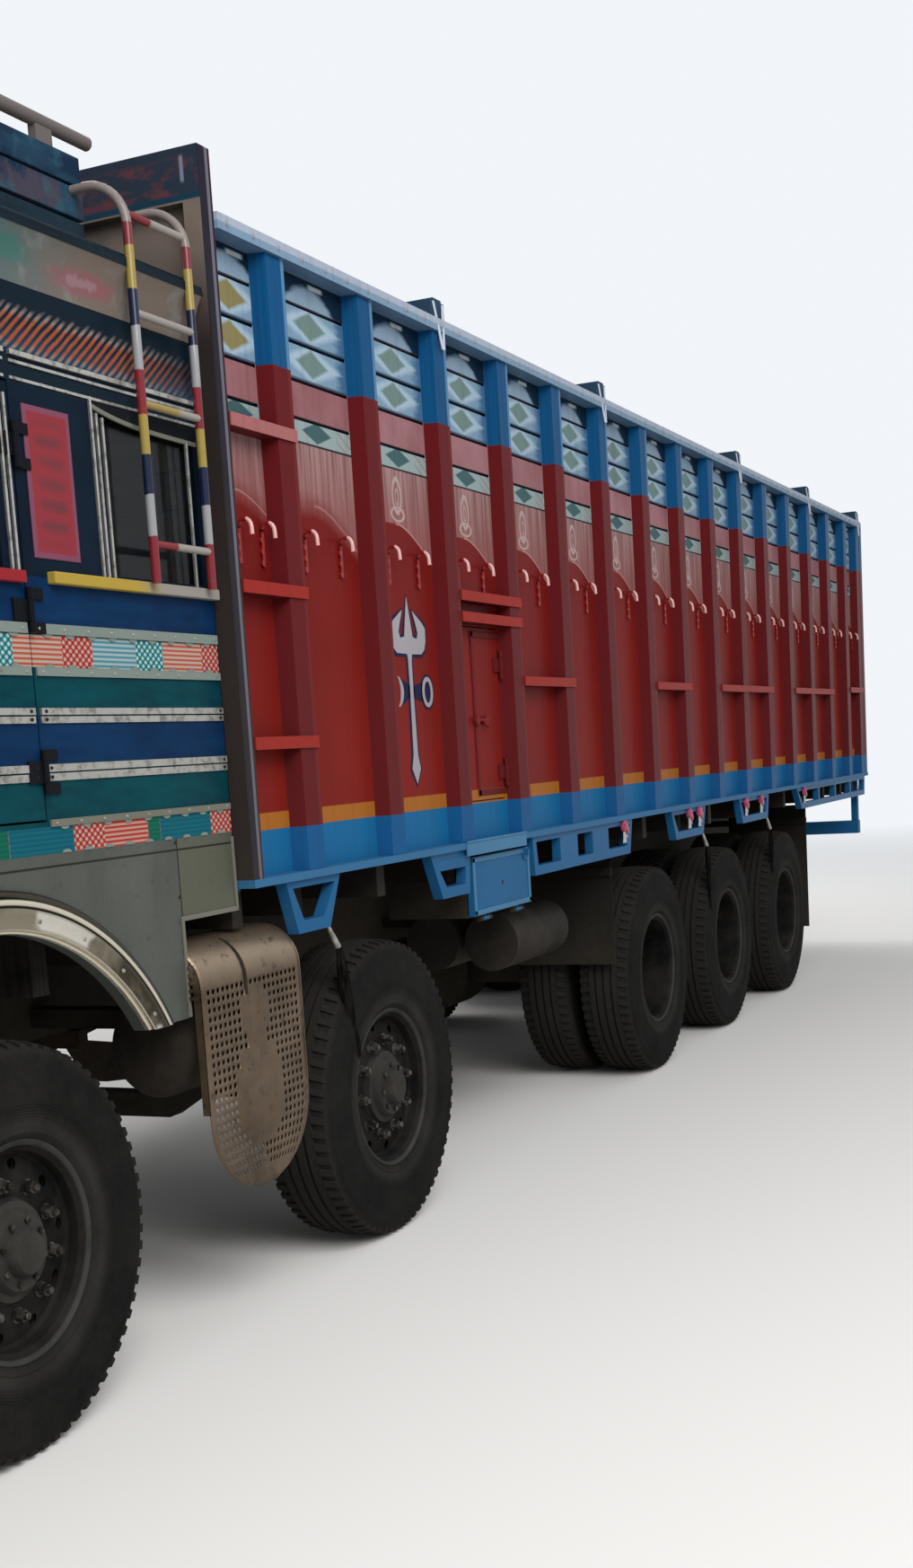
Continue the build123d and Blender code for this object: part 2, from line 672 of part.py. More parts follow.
def cab_floor():
    """Floor with the engine's tunnel, on cross-bearers that stand on the rails."""
    inside = CAB_Y - CAB_SKIN
    front = CAB_FACE - CAB_SKIN
    z = (CAB_FLOOR - CAB_FLOOR_T, CAB_FLOOR)
    wall = 30.0
    floor = block((CAB_REAR, front), (-inside, inside), z)
    floor -= block((TUNNEL_REAR, front + 1), (-TUNNEL_Y, TUNNEL_Y), (z[0] - 1, z[1] + 1))
    hood = block((TUNNEL_REAR - wall, front), (-TUNNEL_Y - wall, TUNNEL_Y + wall), (z[0], TUNNEL_TOP))
    hood -= block((TUNNEL_REAR, front + 1), (-TUNNEL_Y, TUNNEL_Y), (z[0] - 1, TUNNEL_TOP - wall))
    floor += hood
    for x in (CAB_REAR + 90, CAB_REAR + 750):
        floor += block((x - 35, x + 35), (-CAB_BEARER_Y, CAB_BEARER_Y), (RAIL_TOP, z[0]))
    leg_x = (AXLE_1_X + 730, AXLE_1_X + 850)
    leg = block(leg_x, (TUNNEL_Y, TUNNEL_Y + wall), (RAIL_TOP, z[0]))
    leg += block(leg_x, (RAIL_Y - 70, TUNNEL_Y + wall), (RAIL_TOP, RAIL_TOP + 12))
    return floor + leg + right(leg)


def cab_roof():
    """Deck that overhangs the sides a little, with rounded long edges."""
    front = CAB_FACE - 30 + 40
    deck = block((CAB_REAR, front), (-CAB_Y - 20, CAB_Y + 20), (CAB_TOP, CAB_TOP + ROOF_T))
    long_edges = deck.edges().filter_by(Axis.X).group_by(Axis.Z)[-1]
    return fillet(long_edges, ROOF_T * 0.6)


def cab_glass():
    """Two windscreen halves and the crew windows' panes."""
    half = CAB_Y - 110
    depth = CAB_SKIN / 2
    lower, upper = SCREEN_LOW + 30, SCREEN_HIGH - 20
    slope = SCREEN_RAKE / (SCREEN_HIGH - SCREEN_LOW)

    def face(z, inset):
        return CAB_FACE - inset - (z - SCREEN_LOW) * slope

    points = [
        (face(lower, depth), lower + NEAR),
        (face(upper, depth), upper - NEAR),
        (face(upper, depth + GLASS_T), upper - NEAR),
        (face(lower, depth + GLASS_T), lower + NEAR),
    ]
    x0, x1, z0, z1 = CREW_WINDOW
    middle = CAB_Y - CAB_SKIN / 2
    pane = block((x0 + NEAR, x1 - NEAR), (middle - GLASS_T, middle), (z0 + NEAR, z1 - NEAR))
    screen = side_plate(points, (30 + NEAR, half - NEAR))
    solids = list(screen.solids()) + list(right(screen).solids())
    solids += list(pane.solids()) + list(right(pane).solids())
    return Compound(children=solids)


def cab_door():
    """Left door leaf with its window opening; it hangs on its rear edge."""
    x = (DOOR_REAR + SEAM, DOOR_REAR + DOOR_W - SEAM)
    z = (DOOR_LOW + SEAM, DOOR_HIGH - SEAM)
    leaf = block(x, (CAB_Y - DOOR_T, CAB_Y), z)
    leaf -= block((x[0] + 75, x[1] - 75), (CAB_Y - DOOR_T - 1, CAB_Y + 1), (2190.0, z[1] - 65))
    for pin in cab_door_pins():
        leaf += hinge(pin, HINGE_OUT, HINGE_LEAF, True)
    return leaf


def cab_seats():
    """Two front seats beside the tunnel and a bunk along the rear wall."""
    floor = CAB_FLOOR
    seats = []
    rear = TUNNEL_REAR
    y = (TUNNEL_Y + 80, CAB_Y - 140)
    seat = block((rear + 20, rear + 480), (y[0] + 60, y[1] - 60), (floor, floor + 260))
    seat += block((rear, rear + 520), y, (floor + 260, floor + 400))
    seat += block((rear - 40, rear + 80), y, (floor + 400, floor + 1000))
    seats += list(seat.solids()) + list(right(seat).solids())
    half = CAB_Y - 100
    bunk = block((CAB_REAR + CAB_SKIN + 2, CAB_REAR + 650), (-half, half), (floor, floor + 440))
    seats += bunk.solids()
    return Compound(children=seats)


def dashboard():
    """Dash across the cab with the steering column and wheel on the right."""
    low = TUNNEL_TOP + SEAM
    back = CAB_FACE - CAB_SKIN - 5
    face, top = CAB_FACE, SCREEN_LOW - 10
    outline = [(back, low), (back, top), (face - 300, top), (face - 380, top - 70)]
    outline += [(face - 340, low + 20), (face - 200, low)]
    dash = side_plate(outline, (-CAB_Y + CAB_SKIN + NEAR, CAB_Y - CAB_SKIN - NEAR))
    middle = -(TUNNEL_Y + CAB_Y - 60) / 2
    wheel_at = Vector(face - 570, middle, top + 120)
    foot = Vector(face - 260, middle, top - 150)
    column = rod(tuple(foot), tuple(wheel_at), 24.0)
    lean = (wheel_at - foot).normalized()
    plane = Plane(origin=tuple(wheel_at), z_dir=tuple(lean))
    ring = extrude(plane * (RegularPolygon(230.0, 24) - RegularPolygon(205.0, 24)), amount=24.0)
    spokes = extrude(plane * Rectangle(420.0, 36.0), amount=14.0)
    return dash + column + spokes + ring


def roof_rack():
    """Side boards and front crown on the roof, a rail along each side, and the ladder on the left."""
    z0 = CAB_TOP + ROOF_T
    board = block((RACK_REAR, RACK_FRONT - RACK_T), (RACK_Y - RACK_T, RACK_Y), (z0, RACK_TOP))
    rack = board + right(board)
    crown = cross_plate(
        [
            (-RACK_Y, z0),
            (-RACK_Y, RACK_TOP),
            (-RACK_Y * 0.55, RACK_TOP + CROWN_RISE),
            (RACK_Y * 0.55, RACK_TOP + CROWN_RISE),
            (RACK_Y, RACK_TOP),
            (RACK_Y, z0),
        ],
        (RACK_FRONT - RACK_T, RACK_FRONT),
    )
    rack += crown
    tube_z = RACK_TOP + 55
    y = RACK_Y - RACK_T / 2
    tube = rod((RACK_REAR - 60, y, tube_z), (RACK_FRONT - 120, y, tube_z), TUBE_R)
    for x in (RACK_REAR + 150, (RACK_REAR + RACK_FRONT) / 2, RACK_FRONT - 260):
        tube += block((x - 20, x + 20), (y - 12, y + 12), (RACK_TOP - 1, tube_z))
    rack += tube + right(tube)
    return rack + ladder()


def ladder():
    """Two tubes that stand off the cab side, bend over the eave and meet the rack, with rungs."""
    top = RACK_TOP - LADDER_DROP
    parts = []
    for x in LADDER_X:
        path = FilletPolyline(
            (x, CAB_Y, LADDER_LOW),
            (x, LADDER_Y, LADDER_LOW),
            (x, LADDER_Y, top),
            (x, RACK_Y - 2, top),
            radius=[2 * LADDER_R, LADDER_BEND],
        )
        start = Plane(origin=path @ 0, z_dir=path % 0)
        parts.append(sweep(start * Circle(LADDER_R), path=path))
    shape = parts[0] + parts[1]
    for z in LADDER_RUNGS:
        bent = max(z - (top - LADDER_BEND), 0.0)
        y = LADDER_Y - LADDER_BEND + math.sqrt(LADDER_BEND ** 2 - bent ** 2)
        shape += rod((LADDER_X[0], y, z), (LADDER_X[1], y, z), LADDER_R - 2)
    return shape


def front_bumper():
    """Deep box bumper with raked ends, and its two brackets to the rails."""
    half = CAB_Y + 15
    outline = [
        (FRONT - 150, -half),
        (FRONT - 30, -half),
        (FRONT, -half + 60),
        (FRONT, half - 60),
        (FRONT - 30, half),
        (FRONT - 150, half),
        (FRONT - 110, half - 60),
        (FRONT - 90, half - 90),
        (FRONT - 90, -half + 90),
        (FRONT - 110, -half + 60),
    ]
    bumper = flat_plate(outline, (560.0, 940.0))
    for side in (1, -1):
        y = (RAIL_Y - 70, RAIL_Y - 20) if side > 0 else (-RAIL_Y + 20, -RAIL_Y + 70)
        bumper += block((RAIL_FRONT + NEAR, FRONT - 88), y, (RAIL_TOP - RAIL_H, 930.0))
        lamp_y = (side * 900.0 - 100, side * 900.0 + 100)
        bumper -= block((FRONT - 30, FRONT + 1), lamp_y, (680.0, 840.0))
    return bumper


def lamps():
    """Head lamps set in the bumper and tail lamps on the rear bumper."""
    solids = []
    for side in (1, -1):
        lamp_y = (side * 900.0 - 96, side * 900.0 + 96)
        solids += block((FRONT - 30 + NEAR, FRONT - 4), lamp_y, (684.0, 836.0)).solids()
        tail_y = (side * 1060.0 - 90, side * 1060.0 + 90)
        tail_z = (BUMPER_Z[0] + 12, BUMPER_Z[1] - 12)
        solids += block((REAR, REAR + TAIL_LAMP_T - NEAR), tail_y, tail_z).solids()
    return Compound(children=solids)


def mirrors():
    """A mirror each side on a bent arm at the cab's front corner."""
    foot_x, arm_z = CAB_FACE - 165, 2560.0
    arm = block((foot_x - 40, foot_x + 40), (CAB_Y + NEAR, CAB_Y + 14), (arm_z - 30, arm_z + 30))
    arm += rod((foot_x, CAB_Y + 8, arm_z), (CAB_FACE - 40, CAB_Y + 160, arm_z), 12.0)
    arm += block((CAB_FACE - 55, CAB_FACE - 30), (CAB_Y + 90, CAB_Y + 250), (arm_z - 360, arm_z + 40))
    return both(arm)


# Silencer behind a perforated guard whose top rolls inward and whose foot is a round tongue
def silencer_guard():
    out = HALF - 5
    sheet, bend = GUARD_SHEET, GUARD_BEND
    y0, z1 = out - bend - 60, GUARD_TOP
    plane = Plane(origin=(GUARD_REAR, 0, 0), x_dir=(0, 1, 0), z_dir=(1, 0, 0))
    wide = GUARD_FRONT - GUARD_REAR
    outer = make_face(Polyline((y0, GUARD_LOW), (y0, z1), (out, z1), (out, GUARD_LOW), close=True))
    shell = extrude(plane * outer, amount=wide)
    top_edge = shell.edges().filter_by(Axis.X).group_by(Axis.Z)[-1].sort_by(Axis.Y)[-1]
    shell = fillet(top_edge, bend)
    hollow = extrude(
        plane * make_face(
            Polyline(
                (y0 - 1, GUARD_LOW - 1),
                (y0 - 1, z1 - sheet),
                (out - sheet, z1 - sheet),
                (out - sheet, GUARD_LOW - 1),
                close=True,
            )
        ),
        amount=wide,
    )
    inner_edge = hollow.edges().filter_by(Axis.X).group_by(Axis.Z)[-1].sort_by(Axis.Y)[-1]
    shell -= fillet(inner_edge, bend - sheet)
    tongue_r = 250.0
    mid = (GUARD_FRONT + GUARD_REAR) / 2
    corner = block((GUARD_REAR - 1, GUARD_FRONT + 1), (y0 - 1, out + 1), (GUARD_LOW - 1, GUARD_LOW + tongue_r))
    front_view = Plane(origin=(mid, out + 2, GUARD_LOW + tongue_r), x_dir=(1, 0, 0), z_dir=(0, -1, 0))
    ellipse = extrude(front_view * Ellipse(wide / 2, tongue_r), amount=out + 4 - y0)
    shell -= corner - ellipse
    pot_z = 870.0
    pot_y = out - 60 - SILENCER_R
    pot = rod((GUARD_REAR + 20, pot_y, pot_z), (GUARD_FRONT - 20, pot_y, pot_z), SILENCER_R)
    strap = block((mid - 40, mid + 40), (pot_y, out - sheet + 1), (pot_z - 20, pot_z + 20))
    arms = block((mid - 40, mid + 40), (RAIL_Y + NEAR, pot_y), (pot_z + 20, pot_z + 80))
    return shell + pot + strap + arms


def tool_box():
    """Hollow box under the left side, open at its outer face for the lid."""
    mouth = TOOLBOX_Y[1] - TOOLBOX_LID_T - SEAM
    top = RAIL_TOP + SILL_H - NEAR
    box = block(TOOLBOX_X, (TOOLBOX_Y[0], mouth), (TOOLBOX_LOW, top))
    wall = 8.0
    box -= block(
        (TOOLBOX_X[0] + wall, TOOLBOX_X[1] - wall),
        (TOOLBOX_Y[0] + wall, mouth + 1),
        (TOOLBOX_LOW + wall, top - wall),
    )
    low = TOOLBOX_LOW - SEAM - 2
    for pin in lid_pins():
        x = pin.origin.X
        box += hinge(pin, HINGE_R, HINGE_R, False)
        for side in (1, -1):
            span = sorted((x + side * (HINGE_L / 2 + 1), x + side * (HINGE_L + 1)))
            box += block(span, (mouth - 30, pin.origin.Y), (low, TOOLBOX_LOW + 1))
    return box


def lid_pins():
    """Pins under the lid's lower edge: moving leaf upward, open air to the left."""
    y, z = TOOLBOX_Y[1] - TOOLBOX_LID_T / 2, TOOLBOX_LOW - HINGE_R - 2
    places = (TOOLBOX_X[0] + 130, TOOLBOX_X[1] - 130)
    return [Plane(origin=(x, y, z), x_dir=(0, 0, 1), z_dir=(-1, 0, 0)) for x in places]


def tool_box_lid():
    """Flap that drops outward on its lower edge."""
    x = (TOOLBOX_X[0] + 2, TOOLBOX_X[1] - 2)
    lid = block(x, (TOOLBOX_Y[1] - TOOLBOX_LID_T, TOOLBOX_Y[1]), (TOOLBOX_LOW + SEAM, TOOLBOX_LID_TOP))
    for pin in lid_pins():
        lid += hinge(pin, TOOLBOX_LID_T / 2 - 1, 30.0, True)
    return lid


def fuel_tank():
    """Rounded square tank on the right, in two hangers off the rail."""
    tank = block(TANK_X, (-TANK_Y[1], -TANK_Y[0]), TANK_Z)
    tank = fillet(tank.edges().filter_by(Axis.X), 70.0)
    for x in (TANK_X[0] + 250, TANK_X[1] - 250):
        tank += block((x - 30, x + 30), (-TANK_Y[0] - 20, -RAIL_Y - NEAR), (TANK_Z[1] - 140, TANK_Z[1] - 60))
    return tank


def air_tanks():
    """Two reservoirs on the left between the axle groups, on brackets off the rail."""
    z = 860.0
    solids = []
    for y in (720.0, 1000.0):
        solids.append(rod((AIR_TANK_X[0], y, z), (AIR_TANK_X[1], y, z), AIR_TANK_R))
    shape = solids[0] + solids[1]
    for x in (AIR_TANK_X[0] + 120, AIR_TANK_X[1] - 120):
        shape += block((x - 20, x + 20), (RAIL_Y + NEAR, 1000.0), (z + 60, z + 100))
    return shape


# Lowered frames under the body's edge, as distances behind the first axle:
# front top, rear top, front foot, rear foot, then foot height, uprights with their width, and the
# height of a middle rail, 0 for none
BODY_END = AXLE_1_X - REAR - 100.0
LOW_FRAMES = [
    (1390.0, 1750.0, 1450.0, 1660.0, 1140.0, 0, 0.0, 0.0),
    (2460.0, 2820.0, 2550.0, 2800.0, 1140.0, 0, 0.0, 1265.0),
    (3475.0, 4800.0, 3490.0, 4750.0, 1145.0, 2, 220.0, 0.0),
    (5450.0, 6090.0, 5520.0, 6030.0, 1155.0, 0, 0.0, 0.0),
    (6810.0, 7520.0, 6880.0, 7480.0, 1160.0, 0, 0.0, 0.0),
    (8290.0, BODY_END, 8420.0, BODY_END - 20.0, 1165.0, 3, 40.0, 0.0),
]


def side_rails():
    """Trapezoid frames of square bar that hang from the floor's edge on both sides."""
    y = (HALF - 50, HALF - 10)
    top = FLOOR_TOP - FLOOR_T - NEAR
    bar = SIDE_BAR
    solids = []
    for places in LOW_FRAMES:
        front_top, rear_top, front_foot, rear_foot = [axle_x(behind) for behind in places[:4]]
        foot, uprights, width, middle = places[4:]
        outer = [(front_top, top), (front_foot, foot), (rear_foot, foot), (rear_top, top)]
        inner = [
            (front_top - bar, top - bar * 0.6),
            (front_foot - bar, foot + bar),
            (rear_foot + bar, foot + bar),
            (rear_top + bar, top - bar * 0.6),
        ]
        frame = side_plate(outer, y) - side_plate(inner, (y[0] - 1, y[1] + 1))
        for index in range(uprights):
            x = front_foot + (rear_foot - front_foot) * (index + 1) / (uprights + 1)
            frame += block((x - width / 2, x + width / 2), y, (foot + 1, top - 1))
        if middle:
            share = (top - middle) / (top - foot)
            behind = rear_top + (rear_foot - rear_top) * share + bar / 2
            ahead = front_top + (front_foot - front_top) * share - bar / 2
            frame += block((behind, ahead), y, (middle - bar / 2, middle + bar / 2))
        solids += frame.solids()
    shape = Compound(children=solids)
    return both(shape)


def mud_flaps():
    """Rubber flaps ahead of and behind the rear wheels, and behind the second axle."""
    y = (TYRE_Y - TWIN_PITCH - TYRE_W / 2, HALF - 60)
    first, last = AXLES[2][1], AXLES[4][1]
    solids = []
    for x, low in ((axle_x(first) + TYRE_R + 45, 620.0), (axle_x(last) - TYRE_R - 270, 330.0)):
        flap = block((x - FLAP_T / 2, x + FLAP_T / 2), y, (low, RAIL_TOP + 80))
        flap += block((x - 20, x + 20), (RAIL_Y + NEAR, y[1]), (RAIL_TOP - 50, RAIL_TOP - 10))
        solids += flap.solids()
    flaps = Compound(children=solids)
    return both(flaps)


def rear_bumper():
    """A bar each side of the towing eye, hung from the floor's edge and the rail's end."""
    high = BUMPER_Z[1]
    arm_y = RAIL_Y - 40
    end = HALF - 70
    bar = block((REAR + TAIL_LAMP_T, REAR + 100), (BUMPER_GAP, end), BUMPER_Z)
    bar += block((REAR + 40, REAR + 90), (end - 55, end - 5), (high - 10, FLOOR_TOP - FLOOR_T - NEAR))
    bar += block((REAR + 40, REAR + 90), (arm_y - 25, arm_y + 25), (high - 10, RAIL_TOP - 40))
    bar += block((REAR + 89, RAIL_REAR - NEAR), (arm_y - 25, arm_y + 25), (RAIL_TOP - 120, RAIL_TOP - 40))
    return both(bar)


def engine_block():
    """One plain block between the rails, under the cab's tunnel."""
    low = RAIL_TOP - RAIL_H + RAIL_WALL
    half = TUNNEL_Y - 90
    return block((TUNNEL_REAR + 90, CAB_FACE - 200), (-half, half), (low, TUNNEL_TOP - 60))


os.makedirs("parts", exist_ok=True)

node("chassis_frame", chassis_frame())
node("engine_block", engine_block())

steer_seat = TYRE_R + 45
springs = []
steer_solids = []
axle_solids = []
for number, behind, steered, twin in AXLES:
    x = axle_x(behind)
    if steered:
        steer_solids += steer_beam(x).solids()
        spring = leaf_spring(x, 1500.0, steer_seat, 7, RAIL_TOP - RAIL_H - NEAR)
    else:
        axle_solids += banjo_axle(x).solids()
        spring = leaf_spring(x, 1180.0, TYRE_R + 65, 9, RAIL_TOP - RAIL_H - NEAR)
    springs += list(spring.solids()) + list(right(spring).solids())
    wheel = twin_wheel(x) if twin else single_wheel(x)
    tyres = list(tyre(x, TYRE_Y).solids())
    if twin:
        tyres += tyre(x, TYRE_Y - TWIN_PITCH).solids()
    rubber = Compound(children=tyres)
    pieces = [("wheel_", wheel), ("tyre_", rubber)]
    if steered:
        pieces.append(("knuckle_", steering_knuckle(x)))
    for name, piece in pieces:
        node(name + str(number) + "_left", piece)
        node(name + str(number) + "_right", right(piece))
node("leaf_springs", Compound(children=springs))
node("steer_axles", Compound(children=steer_solids))
node("rear_axles", Compound(children=axle_solids))

node("load_floor", load_floor())
node("side_wall_left", side_wall(True))
node("side_wall_right", right(side_wall(False)))
node("side_door", side_door())
node("headboard", headboard())
node("rear_frame", rear_frame())
node("tail_door_left", tail_door())
node("tail_door_right", right(tail_door()))
node("cross_ties", cross_ties())

node("cab_front", cab_front())
node("cab_side_left", cab_side())
node("cab_side_right", right(cab_side()))
node("cab_rear", cab_rear())
node("cab_floor", cab_floor())
node("cab_roof", cab_roof())
node("cab_glass", cab_glass())
node("cab_door_left", cab_door())
node("cab_door_right", right(cab_door()))
node("cab_seats", cab_seats())
node("dashboard", dashboard())
node("roof_rack", roof_rack())
node("mirrors", mirrors())
node("front_bumper", front_bumper())
node("lamps", lamps())

node("silencer_guard", silencer_guard())
node("tool_box", tool_box())
node("tool_box_lid", tool_box_lid())
node("tanks", Compound(children=list(fuel_tank().solids()) + list(air_tanks().solids())))
node("side_rails", side_rails())
node("mud_flaps", mud_flaps())
node("rear_bumper", rear_bumper())
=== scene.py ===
import math
import random

import bmesh
import bpy
from mathutils import Matrix, Vector


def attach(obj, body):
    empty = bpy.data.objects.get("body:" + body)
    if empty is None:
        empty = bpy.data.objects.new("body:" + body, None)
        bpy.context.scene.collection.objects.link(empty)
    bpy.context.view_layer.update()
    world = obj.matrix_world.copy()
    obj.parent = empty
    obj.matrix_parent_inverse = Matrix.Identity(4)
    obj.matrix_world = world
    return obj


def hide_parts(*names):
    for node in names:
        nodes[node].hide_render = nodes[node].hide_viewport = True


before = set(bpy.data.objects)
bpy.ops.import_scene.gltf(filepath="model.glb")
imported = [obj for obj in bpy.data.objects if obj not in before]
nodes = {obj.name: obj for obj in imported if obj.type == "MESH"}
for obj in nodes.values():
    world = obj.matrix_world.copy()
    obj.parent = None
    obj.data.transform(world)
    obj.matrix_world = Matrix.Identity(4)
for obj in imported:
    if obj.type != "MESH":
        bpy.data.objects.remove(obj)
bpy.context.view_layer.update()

# Camera. It stands ahead of the truck's left front corner at a standing person's eye height, turned
# back along the truck, with the focal length and level that a fit to wheels and posts gave.
CAMERA_AT = (8.0164, 3.9505, 1.6693)
YAW, PITCH, ROLL = -2.71199682, -0.140192082, -0.0618901726
FOCAL_PX, FRAME_H_PX, MIDDLE_ROW_PX = 1928.03, 1746.0, 1113.35
SENSOR = 36.0


def camera_frame(yaw, pitch, roll):
    ahead = Vector((math.cos(pitch) * math.cos(yaw), math.cos(pitch) * math.sin(yaw), math.sin(pitch)))
    across = ahead.cross(Vector((0, 0, 1))).normalized()
    up = across.cross(ahead)
    turned = across * math.cos(roll) + up * math.sin(roll)
    raised = up * math.cos(roll) - across * math.sin(roll)
    return Matrix((turned, raised, -ahead)).transposed().to_4x4()


lens = bpy.data.cameras.new("view")
lens.sensor_fit, lens.sensor_height, lens.sensor_width = "AUTO", SENSOR, SENSOR
lens.lens = FOCAL_PX / FRAME_H_PX * SENSOR
lens.shift_y = (MIDDLE_ROW_PX - FRAME_H_PX / 2) / FRAME_H_PX
lens.clip_end = 200.0
camera = bpy.data.objects.new("view", lens)
camera.matrix_world = Matrix.Translation(CAMERA_AT) @ camera_frame(YAW, PITCH, ROLL)
bpy.context.scene.collection.objects.link(camera)
bpy.context.scene.camera = camera
bpy.context.scene.view_settings.view_transform = "Standard"


# Shader fields. A field is one value of a material; sums and products of fields become Math nodes,
# so that a pattern reads as a formula over the truck's own coordinates.
class Field:
    def __init__(self, tree, socket):
        self.tree, self.socket = tree, socket

    def node(self, kind, values=(), out=0, stops=None, **settings):
        """Adds a node, makes its settings, feeds its sockets and gives one of its outputs."""
        new = self.tree.nodes.new(kind)
        for name, value in settings.items():
            setattr(new, name, value)
        if stops:
            ramp = new.color_ramp
            while len(ramp.elements) < len(stops):
                ramp.elements.new(0.5)
            for element, (place, colour) in zip(ramp.elements, stops):
                element.position, element.color = place, colour
        pairs = values.items() if isinstance(values, dict) else enumerate(values)
        for key, value in pairs:
            if isinstance(value, Field):
                self.tree.links.new(value.socket, new.inputs[key])
            elif value is not None:
                new.inputs[key].default_value = value
        return Field(self.tree, new.outputs[out])

    def math(self, operation, *values, clamp=False):
        return self.node("ShaderNodeMath", values, operation=operation, use_clamp=clamp)

    def __add__(self, other):
        return self.math("ADD", self, other)

    def __radd__(self, other):
        return self.math("ADD", other, self)

    def __sub__(self, other):
        return self.math("SUBTRACT", self, other)

    def __rsub__(self, other):
        return self.math("SUBTRACT", other, self)

    def __mul__(self, other):
        return self.math("MULTIPLY", self, other)

    def __rmul__(self, other):
        return self.math("MULTIPLY", other, self)

    def __truediv__(self, other):
        return self.math("DIVIDE", self, other)

    def __abs__(self):
        return self.math("ABSOLUTE", self)

    def __pow__(self, other):
        return self.math("POWER", self, other)

    def wrap(self, size=1.0):
        return self.math("FLOORED_MODULO", self, size)

    def lesser(self, other):
        return self.math("MINIMUM", self, other)

    def greater(self, other):
        return self.math("MAXIMUM", self, other)

    def root(self):
        return self.math("SQRT", self)

    def above(self, edge, soft=0.001):
        """1 where the field is over the edge, 0 where it is under, over a soft width."""
        return self.math("ADD", (self - edge) / soft, 0.5, clamp=True)

    def below(self, edge, soft=0.001):
        return self.math("ADD", (edge - self) / soft, 0.5, clamp=True)

    def between(self, low, high, soft=0.001):
        return self.above(low, soft) * self.below(high, soft)


def rgb(red, green, blue):
    """A colour as it looks on a screen, 0 to 255, made linear."""
    def linear(value):
        return value / 255 / 12.92 if value <= 10 else ((value / 255 + 0.055) / 1.055) ** 2.4

    return (linear(red), linear(green), linear(blue), 1.0)


class Finish:
    """A material with its coordinates, noise and paint layers."""

    def __init__(self, name):
        self.material = bpy.data.materials.new(name)
        self.material.use_nodes = True
        self.tree = self.material.node_tree
        self.shader = self.tree.nodes["Principled BSDF"]
        source = self.tree.nodes.new("ShaderNodeTexCoord")
        self.place = Field(self.tree, source.outputs["Object"])
        split = self.tree.nodes.new("ShaderNodeSeparateXYZ")
        self.tree.links.new(self.place.socket, split.inputs[0])
        self.x, self.y, self.z = (Field(self.tree, split.outputs[i]) for i in range(3))

    def paint(self, top, under, mask):
        """Lays a plain or varying colour over another."""
        return self.place.node("ShaderNodeMix", {0: mask, 6: under, 7: top}, 2, data_type="RGBA")

    def noise(self, scale, detail=3.0, rough=0.55, stretch=None):
        where = self.place
        if stretch:
            where = self.place.node("ShaderNodeVectorMath", (self.place, stretch), operation="MULTIPLY")
        return self.place.node("ShaderNodeTexNoise", {0: where, 2: scale, 3: detail, 4: rough})

    def dusty(self, colour, amount, dust, low=0.0, high=2.0, scale=3.0):
        """Road dust that thins out with height, broken up by two sizes of noise."""
        height = (high - self.z) / (high - low)
        grain = self.noise(scale, 5.0, 0.65) * 0.75 + self.noise(scale * 9, 2.0) * 0.35
        mask = (height.math("ADD", height, 0.15, clamp=True) * grain * (2.0 * amount)).lesser(0.95)
        return self.paint(dust, colour, mask), mask

    def finish(self, colour, rough, metallic=0.0, bump=None, depth=0.001, coat=0.0, shine=0.02, plain=None):
        """Feeds the shader. Shine is the bare surface's mirroring; plain holds other sockets' values."""
        fed = {"Base Color": colour, "Roughness": rough, "Metallic": metallic, "Coat Weight": coat}
        for key, value in fed.items():
            if isinstance(value, Field):
                self.tree.links.new(value.socket, self.shader.inputs[key])
            else:
                self.shader.inputs[key].default_value = value
        if bump is not None:
            relief = self.place.node("ShaderNodeBump", {"Distance": depth, "Height": bump})
            self.tree.links.new(relief.socket, self.shader.inputs["Normal"])
        self.shader.inputs["Specular IOR Level"].default_value = shine
        for key, value in (plain or {}).items():
            self.shader.inputs[key].default_value = value
        return self.material


DUST = rgb(78, 71, 62)


def enamel(name, colour, rough=0.32, dust=0.25, high=1.6, ripple=0.25, coat=0.0):
    """Brushed-on gloss enamel over sheet steel: slight ripple, road dust low down, fine scuffs."""
    f = Finish(name)
    tone = f.noise(1.7, 4.0)
    colour = f.paint(tuple(0.7 * c for c in colour[:3]) + (1.0,), colour, tone.above(0.62, 0.35) * 0.45)
    scuff = f.noise(60.0, 4.0, 0.7, (0.25, 1.0, 1.0)).above(0.66, 0.06) * 0.10
    colour = f.paint(rgb(150, 146, 140), colour, scuff)
    colour, dusted = f.dusty(colour, dust, DUST, 0.2, high)
    surface = f.noise(9.0, 2.0) * ripple + f.noise(55.0, 3.0) * 0.06
    return f.finish(colour, dusted * 0.45 + (rough + 0.12 * tone), bump=surface, depth=0.004, coat=coat)


def wear(node, material):
    """Gives a CAD node its material."""
    data = nodes[node].data
    data.materials.clear()
    data.materials.append(material)


SIDES = ((1, "left"), (-1, "right"))
MIRROR = Matrix.Diagonal((1, -1, 1, 1))


